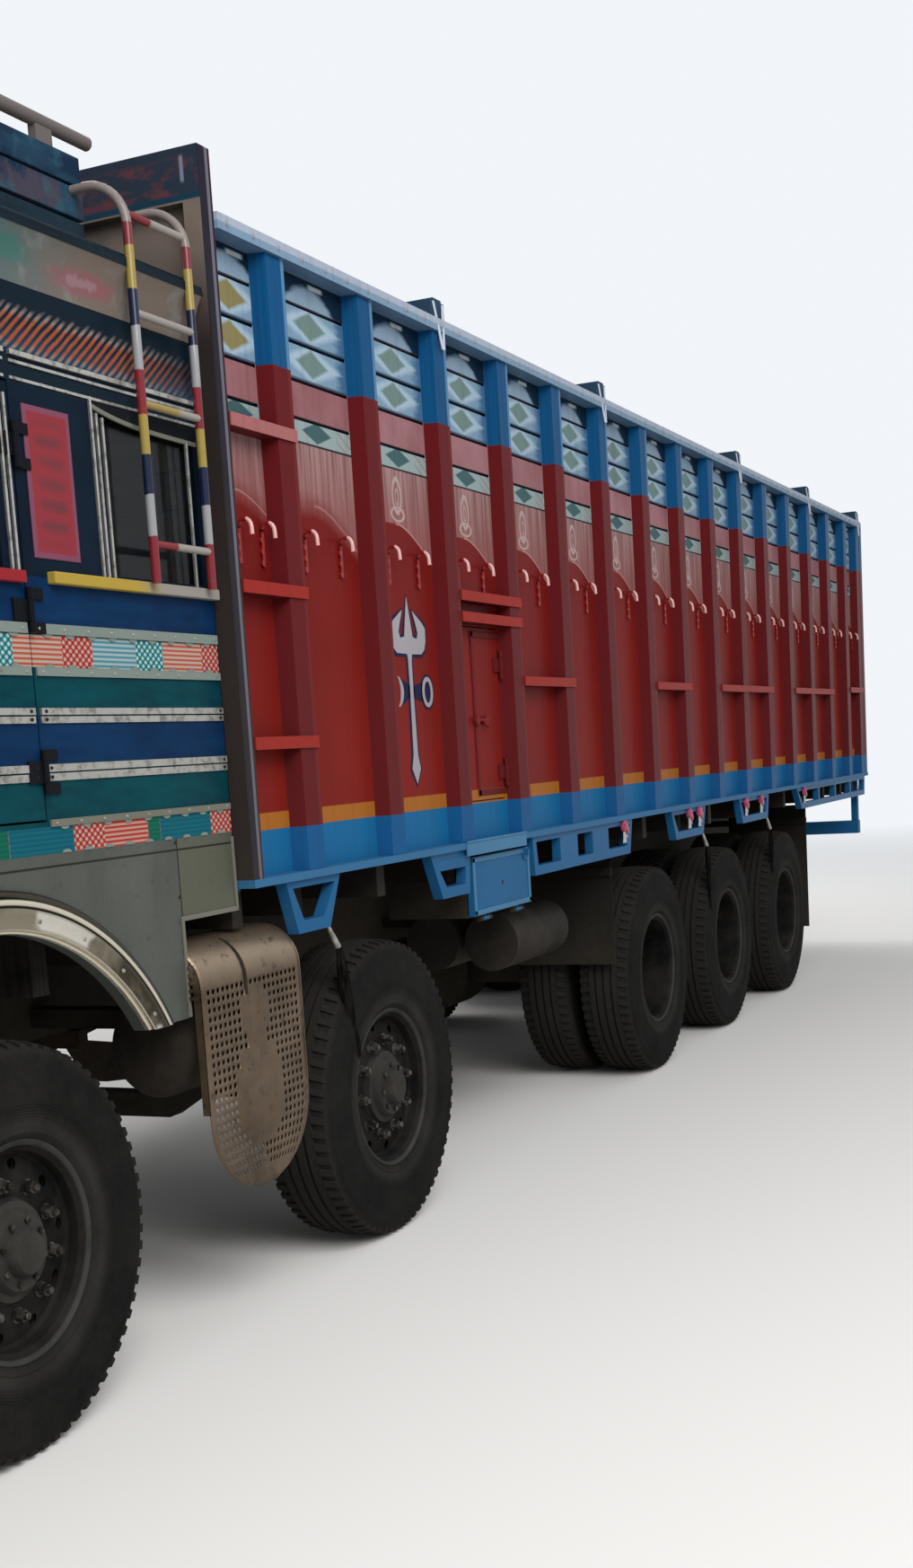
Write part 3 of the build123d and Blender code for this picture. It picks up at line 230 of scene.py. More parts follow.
class Shape:
    """Collects the faces of one piece that has one finish and rides on one body."""

    def __init__(self):
        self.mesh = bmesh.new()

    def faces(self, points, sides):
        made = [self.mesh.verts.new(p) for p in points]
        for side in sides:
            self.mesh.faces.new([made[i] for i in side])
        return made

    def box(self, x, y, z):
        corners = [(a, b, c) for a in sorted(x) for b in sorted(y) for c in sorted(z)]
        sides = [(0, 1, 3, 2), (4, 6, 7, 5), (0, 4, 5, 1), (2, 3, 7, 6), (0, 2, 6, 4), (1, 5, 7, 3)]
        self.faces(corners, sides)
        return self

    def plate(self, outline, place):
        """A flat plate: an outline of pairs, put in space by place(u, v, side) with side 0 or 1."""
        count = len(outline)
        points = [place(u, v, side) for side in (0, 1) for u, v in outline]
        sides = [tuple(range(count))[::-1], tuple(range(count, 2 * count))]
        sides += [(i, (i + 1) % count, count + (i + 1) % count, count + i) for i in range(count)]
        self.faces(points, sides)
        return self

    def skin(self, rings, closed_run=False, closed_ring=True):
        """Joins rings of points, each to the next, and caps the ends of an open run."""
        for one, two in zip(rings, rings[1:] + (rings[:1] if closed_run else [])):
            for i in range(len(one) if closed_ring else len(one) - 1):
                j = (i + 1) % len(one)
                self.mesh.faces.new([one[i], one[j], two[j], two[i]])
        if not closed_run:
            self.mesh.faces.new(rings[0][::-1])
            self.mesh.faces.new(rings[-1])
        return self

    def tube(self, path, radius, sides=8):
        """A round bar along a list of points."""
        path = [Vector(p) for p in path]
        rings, up = [], Vector((0, 0, 1))
        for i, point in enumerate(path):
            run = (path[min(i + 1, len(path) - 1)] - path[max(i - 1, 0)]).normalized()
            side = run.cross(up)
            if side.length < 0.2:
                side = run.cross(Vector((0, 1, 0)))
            side.normalize()
            lift = side.cross(run)
            turn = [2 * math.pi * k / sides for k in range(sides)]
            size = radius(i / (len(path) - 1)) if callable(radius) else radius
            spots = [point + (side * math.cos(t) + lift * math.sin(t)) * size for t in turn]
            rings.append([self.mesh.verts.new(spot) for spot in spots])
        return self.skin(rings)

    def turned(self, profile, centre, sides=64, closed=True, axis="Y"):
        """Spins a profile of (radius, distance along the axis) about an axle."""
        rings = []
        for k in range(sides):
            t = 2 * math.pi * k / sides
            ring = []
            for radius, along in profile:
                c, s = radius * math.cos(t), radius * math.sin(t)
                offset = {"X": (along, c, s), "Y": (c, along, s), "Z": (c, s, along)}[axis]
                ring.append(self.mesh.verts.new([a + b for a, b in zip(centre, offset)]))
            rings.append(ring)
        return self.skin(rings, True, closed)

    def join(self, other, change=Matrix()):
        """Adds another shape's faces, moved or mirrored by a matrix."""
        copy = bpy.data.meshes.new("copy")
        other.mesh.to_mesh(copy)
        copy.transform(change)
        self.mesh.from_mesh(copy)
        bpy.data.meshes.remove(copy)
        return self

    def mirrored(self):
        """Adds the same faces on the truck's right side."""
        return self.join(self, MIRROR)

    def close(self, name, smooth=False, sharp=38):
        """Ends the shape: merges doubled points, turns the faces outward and gives the plain mesh."""
        bmesh.ops.remove_doubles(self.mesh, verts=self.mesh.verts, dist=1e-5)
        bmesh.ops.recalc_face_normals(self.mesh, faces=self.mesh.faces)
        data = bpy.data.meshes.new(name)
        self.mesh.to_mesh(data)
        self.mesh.free()
        for face in data.polygons:
            face.use_smooth = smooth
        if smooth and sharp:
            data.set_sharp_from_angle(angle=math.radians(sharp))
        return data

    def put(self, name, body, material, slot, smooth=False, bevel=0.0, replaced=()):
        """Closes the piece, rounds its edges, and hands it to its body."""
        data = self.close(name, smooth, 0 if bevel else 38)
        data.materials.append(material)
        piece = bpy.data.objects.new(name, data)
        bpy.context.scene.collection.objects.link(piece)
        if bevel:
            rounding = piece.modifiers.new("rounding", "BEVEL")
            rounding.width, rounding.segments, rounding.limit_method = bevel, 2, "ANGLE"
        return give(piece, body, replaced)


def give(piece, body, replaced=()):
    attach(piece, body)
    if replaced:
        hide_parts(*replaced)
    return piece


# Chassis frame. Two pressed channel rails with cross-members, painted black once and now dull with
# baked dust and oil.
frame_black = Finish("frame_black")
patches = frame_black.noise(2.2, 5.0, 0.65)
grime = frame_black.paint(rgb(38, 34, 30), rgb(17, 17, 17), patches.above(0.5, 0.3))
grime, dusted = frame_black.dusty(grime, 0.55, DUST, 0.2, 1.6)
scale = frame_black.noise(40.0, 4.0)
frame_material = frame_black.finish(grime, dusted * 0.3 + 0.55, bump=scale, depth=0.002)
wear("chassis_frame", frame_material)

# Engine. One plain block between the rails under the cab. It is cast iron, dark with oil and dusty on
# its lower half.
cast = Finish("cast_iron")
tone = cast.noise(3.0, 5.0, 0.7)
colour = cast.paint(rgb(48, 43, 38), rgb(25, 24, 24), tone.above(0.52, 0.25))
colour, dusted = cast.dusty(colour, 0.5, DUST, 0.1, 1.4)
cast_material = cast.finish(colour, dusted * 0.2 + 0.68, 0.25, bump=cast.noise(90.0, 3.0), depth=0.0015)
wear("engine_block", cast_material)

# Axles. Forged steered beams with their knuckles, and banjo housings, all of rough steel. They share
# the engine's finish.
knuckles = [f"knuckle_{number}_{side}" for number in (1, 2) for side in ("left", "right")]
for name in ["steer_axles", "rear_axles"] + knuckles:
    wear(name, cast_material)

# Springs. Packs of leaves, rusty where they rub and dusty all over, with a dark line between each leaf
# and the next.
spring = Finish("spring_steel")
layer = (spring.z * (1 / 0.014)).wrap()
colour = spring.paint(rgb(50, 37, 29), rgb(31, 28, 26), spring.noise(14.0, 4.0).above(0.5, 0.2))
colour = spring.paint(rgb(12, 11, 11), colour, layer.below(0.14, 0.06) * 0.8)
colour, dusted = spring.dusty(colour, 0.4, DUST, 0.2, 1.3)
wear("leaf_springs", spring.finish(colour, 0.75, 0.2, bump=layer.below(0.14, 0.1) * -1.0, depth=0.003))

# Wheels. Pressed steel discs in deep rims, ten studs each, with the hub and its cap standing out on the
# steered wheels and sunk between the pair on the others. Every wheel is made about its own centre.
WHEEL_R, TYRE_MIDDLE, PAIR_STEP = 0.525, 1.10, 0.32
AXLE_X = {1: 4.710, 2: 2.645, 3: -0.455, 4: -1.825, 5: -3.235}
STUDS, STUD_RING, HUB_BOLTS, LUGS = 10, 0.1675, 8, 68


class Tree:
    """A Geometry Nodes tree with named inputs, run once on an empty mesh and turned into a plain mesh."""

    def __init__(self, name, **sockets):
        self.group = bpy.data.node_groups.new(name, "GeometryNodeTree")
        self.group.interface.new_socket(name="Geometry", in_out="OUTPUT", socket_type="NodeSocketGeometry")
        for label, kind in sockets.items():
            self.group.interface.new_socket(name=label, in_out="INPUT", socket_type="NodeSocket" + kind)
        self.entry = self.group.nodes.new("NodeGroupInput")

    def given(self, label):
        return Field(self.group, self.entry.outputs[label])

    def close(self, geometry):
        solid = geometry.node("GeometryNodeRealizeInstances", (geometry,))
        coated = solid.node("GeometryNodeSetMaterial", {0: solid, 2: self.given("Finish")})
        leave = self.group.nodes.new("NodeGroupOutput")
        self.group.links.new(coated.socket, leave.inputs[0])

    def grow(self, **values):
        carrier = bpy.data.objects.new("carrier", bpy.data.meshes.new("carrier"))
        bpy.context.scene.collection.objects.link(carrier)
        growth = carrier.modifiers.new("growth", "NODES")
        growth.node_group = self.group
        for item in self.group.interface.items_tree:
            if item.in_out == "INPUT" and item.name in values:
                growth[item.identifier] = values[item.name]
        seen = carrier.evaluated_get(bpy.context.evaluated_depsgraph_get())
        mesh = bpy.data.meshes.new_from_object(seen)
        carrier.modifiers.remove(growth)
        bpy.data.objects.remove(carrier)
        return mesh


def pattern_piece(shape, smooth=False):
    """A hidden master for a repeat, made from a shape's faces."""
    return bpy.data.objects.new("master", shape.close("master", smooth, 40))


# Copies of a master set at equal turns about the Y axis through a centre
ring = Tree("ring", Piece="Object", Count="Int", Centre="Vector", Start="Float", Finish="Material")
line = {0: ring.given("Count"), 2: ring.given("Centre"), 3: (0, 0, 0)}
spots = ring.given("Count").node("GeometryNodeMeshLine", line, mode="OFFSET")
index = spots.node("GeometryNodeInputIndex")
turn = index * (2 * math.pi) / ring.given("Count") + ring.given("Start")
angles = turn.node("ShaderNodeCombineXYZ", {1: turn})
master = spots.node("GeometryNodeObjectInfo", {0: ring.given("Piece")}, 4)
ring.close(spots.node("GeometryNodeInstanceOnPoints", {0: spots, 2: master, 5: angles}))

# Copies of a master in one or more straight rows
row = Tree(
    "row", Piece="Object", Count="Int", Start="Vector", Step="Vector", Turn="Vector", Finish="Material"
)
line = {0: row.given("Count"), 2: row.given("Start"), 3: row.given("Step")}
spots = row.given("Count").node("GeometryNodeMeshLine", line, mode="OFFSET")
master = spots.node("GeometryNodeObjectInfo", {0: row.given("Piece")}, 4)
row.close(spots.node("GeometryNodeInstanceOnPoints", {0: spots, 2: master, 5: row.given("Turn")}))


def gather(name, meshes, body, replaced=()):
    """Joins meshes into one piece, keeping each one's material."""
    pieces = []
    for mesh in meshes:
        pieces.append(bpy.data.objects.new(name, mesh))
        bpy.context.scene.collection.objects.link(pieces[-1])
    bpy.ops.object.select_all(action="DESELECT")
    for piece in pieces:
        piece.select_set(True)
    bpy.context.view_layer.objects.active = pieces[0]
    if len(pieces) > 1:
        bpy.ops.object.join()
    piece = pieces[0]
    piece.name = name
    return give(piece, body, replaced)


def shape_mesh(shape, material, smooth=False, sharp=38):
    """A shape's mesh with its finish, to be gathered into a piece with others."""
    data = shape.close("part", smooth, sharp)
    data.materials.append(material)
    return data


def pierced(shape, columns, rows, place, hole, sides=12):
    """A sheet of cells, each with a hole: place(u, v) maps the sheet, hole(column, row) is its size or 0."""
    def point(u, v):
        return shape.mesh.verts.new(place(u / columns, v / rows))

    quarter = sides // 4
    turns = [2 * math.pi * (k + 0.5) / sides for k in range(sides)]
    for i in range(columns):
        for j in range(rows):
            size = hole(i, j)
            outer = [point(i + a, j + b) for a, b in ((0, 0), (1, 0), (1, 1), (0, 1))]
            if not size:
                shape.mesh.faces.new(outer)
                continue
            inner = [point(i + 0.5 + math.cos(t) * size, j + 0.5 + math.sin(t) * size) for t in turns]
            for n in range(4):
                # corner n lies at 225 + 90 n degrees; the hole's points are counted from 0 degrees
                first = (5 * sides // 8 + n * quarter) % sides
                fan = [inner[(first + m) % sides] for m in range(quarter + 1)]
                shape.mesh.faces.new([outer[n], outer[(n + 1) % 4]] + fan[::-1])
    return shape


rim_paint = Finish("rim_paint")
tone = rim_paint.noise(5.0, 5.0, 0.65)
flange = rim_paint.place.node("ShaderNodeAttribute", attribute_name="reach", out=2)
colour = rim_paint.paint(rgb(38, 36, 34), rgb(20, 20, 20), tone.above(0.5, 0.25))
colour = rim_paint.paint(rgb(86, 86, 82), colour, flange.above(0.264, 0.004) * (0.2 + 0.8 * tone) * 0.5)
colour = rim_paint.paint(rgb(70, 68, 64), colour, flange.below(0.132, 0.006) * (tone * 1.4).lesser(1.0) * 0.7)
colour = rim_paint.paint(rgb(50, 37, 29), colour, rim_paint.noise(17.0, 4.0).above(0.64, 0.1) * 0.6)
grit = rim_paint.noise(120.0, 3.0)
rim_material = rim_paint.finish(colour, 0.55 + 0.25 * tone, 0.15, bump=grit, depth=0.001)

stud_steel = Finish("stud_steel")
tone = stud_steel.noise(30.0, 4.0)
colour = stud_steel.paint(rgb(92, 88, 82), rgb(40, 37, 34), tone.above(0.52, 0.2))
stud_material = stud_steel.finish(colour, 0.42 + 0.3 * tone, 0.6, bump=stud_steel.noise(160.0), depth=0.0006)

rubber = Finish("tyre_rubber")
reach = rubber.place.node("ShaderNodeAttribute", attribute_name="reach", out=2)
tone = rubber.noise(4.0, 5.0, 0.65)
fine = rubber.noise(45.0, 4.0, 0.7)
colour = rubber.paint(rgb(32, 31, 30), rgb(18, 18, 18), (tone * 0.7 + fine * 0.3).above(0.46, 0.3))
# The tread is painted lighter, broken up by grain, as a painted highlight along the crown.
colour = rubber.paint(rgb(46, 44, 40), colour, reach.above(0.5, 0.03) * (0.3 + 0.8 * fine) * 0.8)
colour = rubber.paint(rgb(64, 63, 58), colour, reach.between(0.29, 0.33, 0.05) * tone * 0.6)
ribs = (reach * 130.0).wrap().between(0.35, 0.65, 0.2) * reach.between(0.33, 0.37, 0.01)
crust = fine * 0.6 + ribs * 0.6
rubber_material = rubber.finish(colour, 0.82 - 0.1 * fine, bump=crust, depth=0.0025)


def tyre_profile():
    """Half of the outline from the bead out over the wall and the ribbed tread, then mirrored."""
    half = [
        (0.262, 0.092), (0.268, 0.112), (0.288, 0.126), (0.296, 0.1315), (0.300, 0.1315), (0.304, 0.129),
        (0.345, 0.1375), (0.390, 0.140), (0.435, 0.137), (0.468, 0.131), (0.474, 0.1325), (0.482, 0.1305),
        (0.496, 0.124), (0.506, 0.116), (0.5095, 0.100), (0.5105, 0.074), (0.521, 0.071), (0.5225, 0.047),
        (0.510, 0.044), (0.510, 0.036), (0.5235, 0.033), (0.5245, 0.008), (0.512, 0.005),
    ]
    return half + [(r, -w) for r, w in reversed(half)]


def tyre_meshes(offset):
    body = Shape().turned([(r, w + offset) for r, w in tyre_profile()], (0, 0, 0), sides=96)
    meshes = [shape_mesh(body, rubber_material, True, 30)]
    for side in (1, -1):
        lug = Shape()
        low, high = sorted((side * 0.074, side * 0.121))
        outline = [(-0.0135, 0.502), (0.0135, 0.502), (0.0115, 0.5225), (-0.0115, 0.5225)]

        def spot(u, v, end):
            near = end if side > 0 else 1 - end
            along = (low, high)[end] + offset
            return (u + (0.006 if near else -0.003), along, v - (0.010 if near else 0.0))

        lug.plate(outline, spot)
        master = pattern_piece(lug)
        meshes.append(
            ring.grow(Piece=master, Count=LUGS, Centre=(0, 0, 0), Start=0.02 * side, Finish=rubber_material)
        )
    return meshes


def rim_shape(offset):
    """A rolled rim: flanges that hold the beads, seats and a shallow well."""
    outer = [(0.2585, 0.088), (0.262, 0.104), (0.277, 0.110), (0.281, 0.118), (0.276, 0.124), (0.268, 0.121)]
    inner = [(0.262, 0.113), (0.2495, 0.102), (0.2445, 0.07)]
    half = [(0.248, 0.045)] + outer + inner
    profile = half + [(r, -w) for r, w in reversed(half)]
    return [(r, w + offset) for r, w in profile]


def wheel_disc(shape, face, lip, vents, thick=0.012):
    """The pressed disc: a flat bolting face, a flare with round hand holes, and the edge in the rim."""
    flare_in, flare_out = (0.196, face - 0.004), (0.236, face + lip)

    def flare(u, v):
        turn = 2 * math.pi * u
        radius = flare_in[0] + (flare_out[0] - flare_in[0]) * v
        along = flare_in[1] + (flare_out[1] - flare_in[1]) * v
        return (radius * math.cos(turn), along, radius * math.sin(turn))

    for back in (0.0, -thick):
        sheet = Shape()
        pierced(sheet, vents * 3, 1, lambda u, v: Vector(flare(u, v)) + Vector((0, back, 0)),
                lambda i, j: 0.36 if i % 3 == 1 else 0.0, 16)
        shape.join(sheet)
        sheet.mesh.free()
    rear, edge = face - thick, face + lip
    bolting = [(0.196, face - 0.004), (0.186, face), (0.1, face), (0.1, rear), (0.196, rear - 0.004)]
    shape.turned(bolting, (0, 0, 0), closed=False)
    seat = [(0.236, edge), (0.2455, edge + 0.012), (0.2455, edge - 0.004), (0.236, edge - thick)]
    shape.turned(seat, (0, 0, 0), closed=False)
    return shape


def nut_and_stud(face):
    """A flanged nut with the end of its stud, standing on the disc at the top of the ring."""
    nut = Shape()
    hexagon = [(0.0165 * math.cos(k * math.pi / 3), 0.0165 * math.sin(k * math.pi / 3)) for k in range(6)]
    nut.plate(hexagon, lambda u, v, end: (u, face + 0.004 + 0.022 * end, STUD_RING + v))
    nut.turned([(0.0, 0.0), (0.021, 0.0), (0.021, 0.004), (0.0, 0.005)], (0, face, STUD_RING), 12, False)
    stud_end = [(0.0105, 0.020), (0.0105, 0.038), (0.008, 0.040), (0.0, 0.040)]
    nut.turned(stud_end, (0, face, STUD_RING), 10, False)
    return pattern_piece(nut)


def wheel_meshes(face, hub_tip, cap_tip, lip, rims):
    """Rim or rims, disc, hub with its flange bolts and cap, and the ring of wheel nuts."""
    body = Shape()
    for offset in rims:
        body.turned(rim_shape(offset), (0, 0, 0), sides=72)
    wheel_disc(body, face, lip, 10)
    hub = [
        (0.128, face), (0.126, face + 0.018), (0.108, face + 0.024), (0.104, hub_tip - 0.012),
        (0.096, hub_tip), (0.064, hub_tip), (0.062, hub_tip + 0.004), (0.060, cap_tip - 0.010),
        (0.052, cap_tip), (0.0, cap_tip),
    ]
    body.turned(hub, (0, 0, 0), 48, False)
    meshes = [shape_mesh(body, rim_material, True, 35)]
    nut = nut_and_stud(face)
    meshes.append(ring.grow(Piece=nut, Count=STUDS, Centre=(0, 0, 0), Start=0.31, Finish=stud_material))
    bolt = Shape()
    hexagon = [(0.009 * math.cos(k * math.pi / 3), 0.009 * math.sin(k * math.pi / 3)) for k in range(6)]
    bolt.plate(hexagon, lambda u, v, end: (u, hub_tip - 0.001 + 0.009 * end, 0.080 + v))
    bolt = pattern_piece(bolt)
    bolts = ring.grow(Piece=bolt, Count=HUB_BOLTS, Centre=(0, 0, 0), Start=0.1, Finish=stud_material)
    return meshes + [bolts]


def mark_reach(mesh):
    """Stores each point's distance from the axle, for the patterns that follow it."""
    values = [math.hypot(v.co.x, v.co.z) for v in mesh.vertices]
    mesh.attributes.new("reach", "FLOAT", "POINT").data.foreach_set("value", values)


def set_out(meshes, number, side, kind, replaced):
    """Copies wheel meshes to an axle's end, turned half round for the right side."""
    left = side == "left"
    centre = Vector((AXLE_X[number], TYRE_MIDDLE if left else -TYRE_MIDDLE, WHEEL_R))
    place = Matrix.Translation(centre) @ Matrix.Rotation(0.0 if left else math.pi, 4, "Z")
    spun = Matrix.Rotation(0.37 * number, 4, "Y")
    copies = []
    for mesh in meshes:
        copy = mesh.copy()
        copy.transform(place @ spun)
        copies.append(copy)
    gather(f"{kind}_{number}_{side}", copies, f"wheel_{number}_{side}", replaced)


single_tyre = tyre_meshes(0.0)
twin_tyre = single_tyre + tyre_meshes(-PAIR_STEP)
single_wheel = wheel_meshes(0.075, 0.121, 0.149, -0.012, (0.0,))
twin_wheel = wheel_meshes(-0.152, -0.06, -0.006, 0.03, (0.0, -PAIR_STEP))
for mesh in single_tyre + twin_tyre[len(single_tyre):] + single_wheel + twin_wheel:
    mark_reach(mesh)
for number in AXLE_X:
    steered = number < 3
    for side in ("left", "right"):
        tag = f"{number}_{side}"
        set_out(single_tyre if steered else twin_tyre, number, side, "tyre_dressed", ("tyre_" + tag,))
        set_out(single_wheel if steered else twin_wheel, number, side, "wheel_dressed", ("wheel_" + tag,))

# Load floor. Steel plate on pressed bearers, scraped bare where loads slide, its outer edge in the
# sky blue of the body's foot.
deck = Finish("deck_steel")
scrape = deck.noise(6.0, 5.0, 0.65, (0.3, 1.0, 1.0))
colour = deck.paint(rgb(104, 96, 88), rgb(60, 48, 42), scrape.above(0.5, 0.3))
colour = deck.paint(rgb(22, 21, 20), colour, deck.z.below(1.30, 0.01))
edge = abs(deck.y).above(1.15, 0.002) * deck.z.above(1.30, 0.004)
colour = deck.paint(rgb(44, 104, 146), colour, edge)
colour, dusted = deck.dusty(colour, 0.35, DUST, 0.6, 1.7)
wear("load_floor", deck.finish(colour, dusted * 0.3 + 0.42, 0.1, bump=deck.noise(50.0, 3.0), depth=0.002))

# Side walls. Pressed sheet with trapezoid posts, brushed in gloss enamel by hand: blue heads and white
# diamonds on the planks, a silver panel that curves into red, an orange line and a blue foot.
POST_REAR, BAY, BAY_MIDDLE, WALL_SKIN_Y = 3.070, 0.604667, 0.409, 1.195
PLANK_LOW, PLANK_PITCH, PLANK_TOP = 2.892, 0.118, 3.128
RAIL_LOW, ROSE_LOW, DIAMOND_LOW, FOOT_Z = 3.214, 2.774, 2.690, 1.475
BLUE, MAROON, RED, SKY = rgb(16, 72, 114), rgb(88, 23, 26), rgb(108, 22, 18), rgb(14, 94, 140)


def painted_planks(f, colour, c, tint):
    """The upper panel of a bay, from its top plank down to the curved edge of the red."""
    z = f.z
    rise = (z - PLANK_LOW).wrap(PLANK_PITCH) - PLANK_PITCH / 2
    brush = f.noise(26.0, 3.0, 0.6, (0.35, 0.35, 1.6))
    wide, narrow = abs(c) / 0.205, abs(c) / 0.115
    ground = f.paint(rgb(62, 98, 130), rgb(112, 138, 158), (abs(c) / 0.24 + brush * 0.5).above(1.0, 0.25))
    ground = f.paint(rgb(148, 168, 182), ground, (wide + abs(rise) / 0.058 + brush * 0.25).below(1.1, 0.3))
    lozenge = f.paint(rgb(122, 114, 76), rgb(98, 120, 116), tint)
    ground = f.paint(lozenge, ground, (narrow + abs(rise) / 0.047 + brush * 0.2).below(1.05, 0.25))
    ground = f.paint(rgb(44, 66, 88), ground, abs(rise).above(0.0535, 0.003) * 0.8)
    ground = f.paint(rgb(24, 78, 122), ground, (c + brush * 0.10).below(-0.165, 0.05) * 0.85)
    # The top plank: a pale mound under a dark teal head, the head partly the painted arch and partly painted
    # shade under the top rail.
    mound = 0.062 - (c / 0.17) ** 2 * 0.062 + (z - PLANK_TOP) * -1.0
    top = f.paint(rgb(122, 144, 162), rgb(14, 36, 56), (mound + (brush - 0.5) * 0.03).above(0.0, 0.02))
    glint = abs(c - 0.055).below(0.045, 0.02) * abs(z - 3.196).below(0.007, 0.005)
    top = f.paint(rgb(170, 180, 184), top, glint)
    rose = f.paint(rgb(148, 106, 110), rgb(128, 84, 88), f.noise(3.0, 3.0).above(0.5, 0.3))
    diamond = (abs(c) / 0.1 + abs(z - 2.735) / 0.034).below(1.0, 0.15)
    thin = f.paint(rgb(58, 86, 88), rgb(134, 148, 148), diamond)
    slants = ((c + z * 2.0) / 0.07).wrap().above(0.8, 0.1) * abs(c).above(0.14, 0.02)
    thin = f.paint(rgb(140, 116, 116), thin, slants)
    thin = f.paint(rgb(44, 38, 42), thin, z.below(2.697, 0.003))
    streak = f.noise(1.0, 2.0, 0.5, (55.0, 55.0, 2.2))
    panel = f.paint(rgb(150, 118, 116), rgb(116, 82, 82), streak.above(0.5, 0.25))
    panel = f.paint(rgb(128, 76, 74), panel, z.below(2.58, 0.2) * 0.7)
    reach = (c + 0.03).greater(0.0) ** 1.5
    curve = z + reach * 0.9 - 2.50
    early = f.x.above(2.46, 0.02)
    soft = ((curve + (brush - 0.5) * 0.03) / 0.09 + 0.5).lesser(1.0).greater(0.0)
    crisp = curve.above(0.0, 0.004)
    shown = soft * early + crisp * (1.0 - early)
    colour = f.paint(panel, colour, shown)
    line = abs(curve).below(0.0035, 0.003) * (c + 0.05).above(0.0, 0.02)
    colour = f.paint(rgb(160, 122, 116), colour, line * (0.9 - early * 0.4))
    curls = None
    for cz, rx, rz in ((2.60, 0.034, 0.058), (2.535, 0.05, 0.024), (2.595, 0.012, 0.026)):
        out = ((((c + 0.03) / rx) ** 2) + (((z - cz) / rz) ** 2)).root()
        loop = abs(out - 1.0).below(0.16, 0.08)
        curls = loop if curls is None else curls.greater(loop)
    colour = f.paint(rgb(164, 144, 140), colour, curls * (1.0 - early) * 0.9)
    for paint, low, high in ((thin, DIAMOND_LOW, ROSE_LOW), (rose, ROSE_LOW, PLANK_LOW),
                             (ground, PLANK_LOW, PLANK_TOP), (top, PLANK_TOP, RAIL_LOW)):
        colour = f.paint(paint, colour, z.between(low, high, 0.002))
    return colour


def body_enamel(name, along, centred, raised, shaded_groove, tint, lining):
    """The body's paint scheme over a coordinate that runs along a wall or across a door."""
    f = Finish(name)
    z = f.z
    c, post, groove_shade = centred(f), raised(f), shaded_groove(f)
    shade = f.noise(1.3, 4.0, 0.6)
    rain = f.noise(1.0, 3.0, 0.6, (30.0, 30.0, 0.8))
    red = f.paint(rgb(124, 29, 23), RED, shade.above(0.5, 0.4))
    red = f.paint(rgb(92, 22, 22), red, z.above(1.95, 0.9) * 0.55)
    field = painted_planks(f, red, c, tint(f))
    field = f.paint(rgb(152, 92, 34), field, z.between(FOOT_Z, 1.528, 0.003))
    field = f.paint(SKY, field, z.below(FOOT_Z, 0.003))
    ribs = f.paint(BLUE, MAROON, z.above(2.886, 0.003))
    # The posts' foot is a darker copy of the foot's sky blue, painted shade on the posts.
    ribs = f.paint(rgb(12, 78, 126), ribs, z.below(FOOT_Z, 0.003))
    streaks = f.noise(1.0, 2.0, 0.5, (70.0, 70.0, 1.0)).above(0.55, 0.2)
    ribs = f.paint(rgb(12, 56, 94), ribs, streaks * z.above(2.886, 0.003) * 0.5)
    # A painted highlight down each post's rear edge: pale blue at the head, pale red over the maroon.
    edge = along(f).above(0.968, 0.004)
    ribs = f.paint(rgb(88, 128, 160), ribs, edge * z.above(2.886, 0.003) * 0.75)
    ribs = f.paint(rgb(112, 46, 44), ribs, edge * z.between(FOOT_Z, 2.886, 0.003) * 0.35)
    colour = f.paint(ribs, field, post)
    bar = abs(f.y).above(1.2535, 0.001) * z.below(3.2)
    bar_red = f.paint(rgb(150, 92, 92), rgb(138, 40, 34), z.above(2.6))
    colour = f.paint(bar_red, colour, bar)
    # The plank grooves are painted near black, as painted shade inside them.
    colour = f.paint(rgb(16, 22, 34), colour, groove_shade)
    # The top rail, its top face painted lighter as a painted highlight.
    rail = f.paint(rgb(152, 160, 174), rgb(112, 136, 156), z.above(3.237, 0.004))
    colour = f.paint(rail, colour, z.above(RAIL_LOW, 0.001))
    rubbed = f.noise(3.0, 5.0, 0.7, (1.0, 1.0, 0.4)).above(0.56, 0.25)
    bare = f.paint(rgb(78, 58, 52), rgb(82, 36, 32), rubbed)
    colour = f.paint(bare, colour, lining(f))
    colour = f.paint(rgb(52, 30, 30), colour, rain.above(0.60, 0.2) * 0.16)
    colour, dusted = f.dusty(colour, 0.07, DUST, 1.0, 2.2)
    ripple = f.noise(3.5, 2.0, 0.5, (1.0, 1.0, 0.5)) * 0.55 + f.noise(38.0, 3.0) * 0.05
    return f.finish(colour, dusted * 0.4 + (0.27 + 0.14 * shade), bump=ripple, depth=0.006)


def wall_share(f):
    return ((POST_REAR - f.x) / BAY).wrap()


def wall_centred(f):
    first = f.x.above(3.19)
    return (wall_share(f) - BAY_MIDDLE) * BAY * (1.0 - first) + (3.3275 - f.x) * first


# Where the plank grooves are painted dark as painted shade: inside each groove's depth.
def wall_groove_shade(f):
    rows = (f.z - (PLANK_TOP - 4 * PLANK_PITCH)).wrap(PLANK_PITCH).above(0.106, 0.001)
    return rows * f.z.between(2.70, 3.13) * abs(f.y).between(1.18, 1.1945)


wall_paint = body_enamel(
    "wall_paint", wall_share, wall_centred, lambda f: abs(f.y).above(WALL_SKIN_Y + 0.002, 0.001),
    wall_groove_shade, lambda f: f.x.above(3.19), lambda f: abs(f.y).below(1.17)
)
for name in ("side_wall_left", "side_wall_right", "side_door"):
    wear(name, wall_paint)

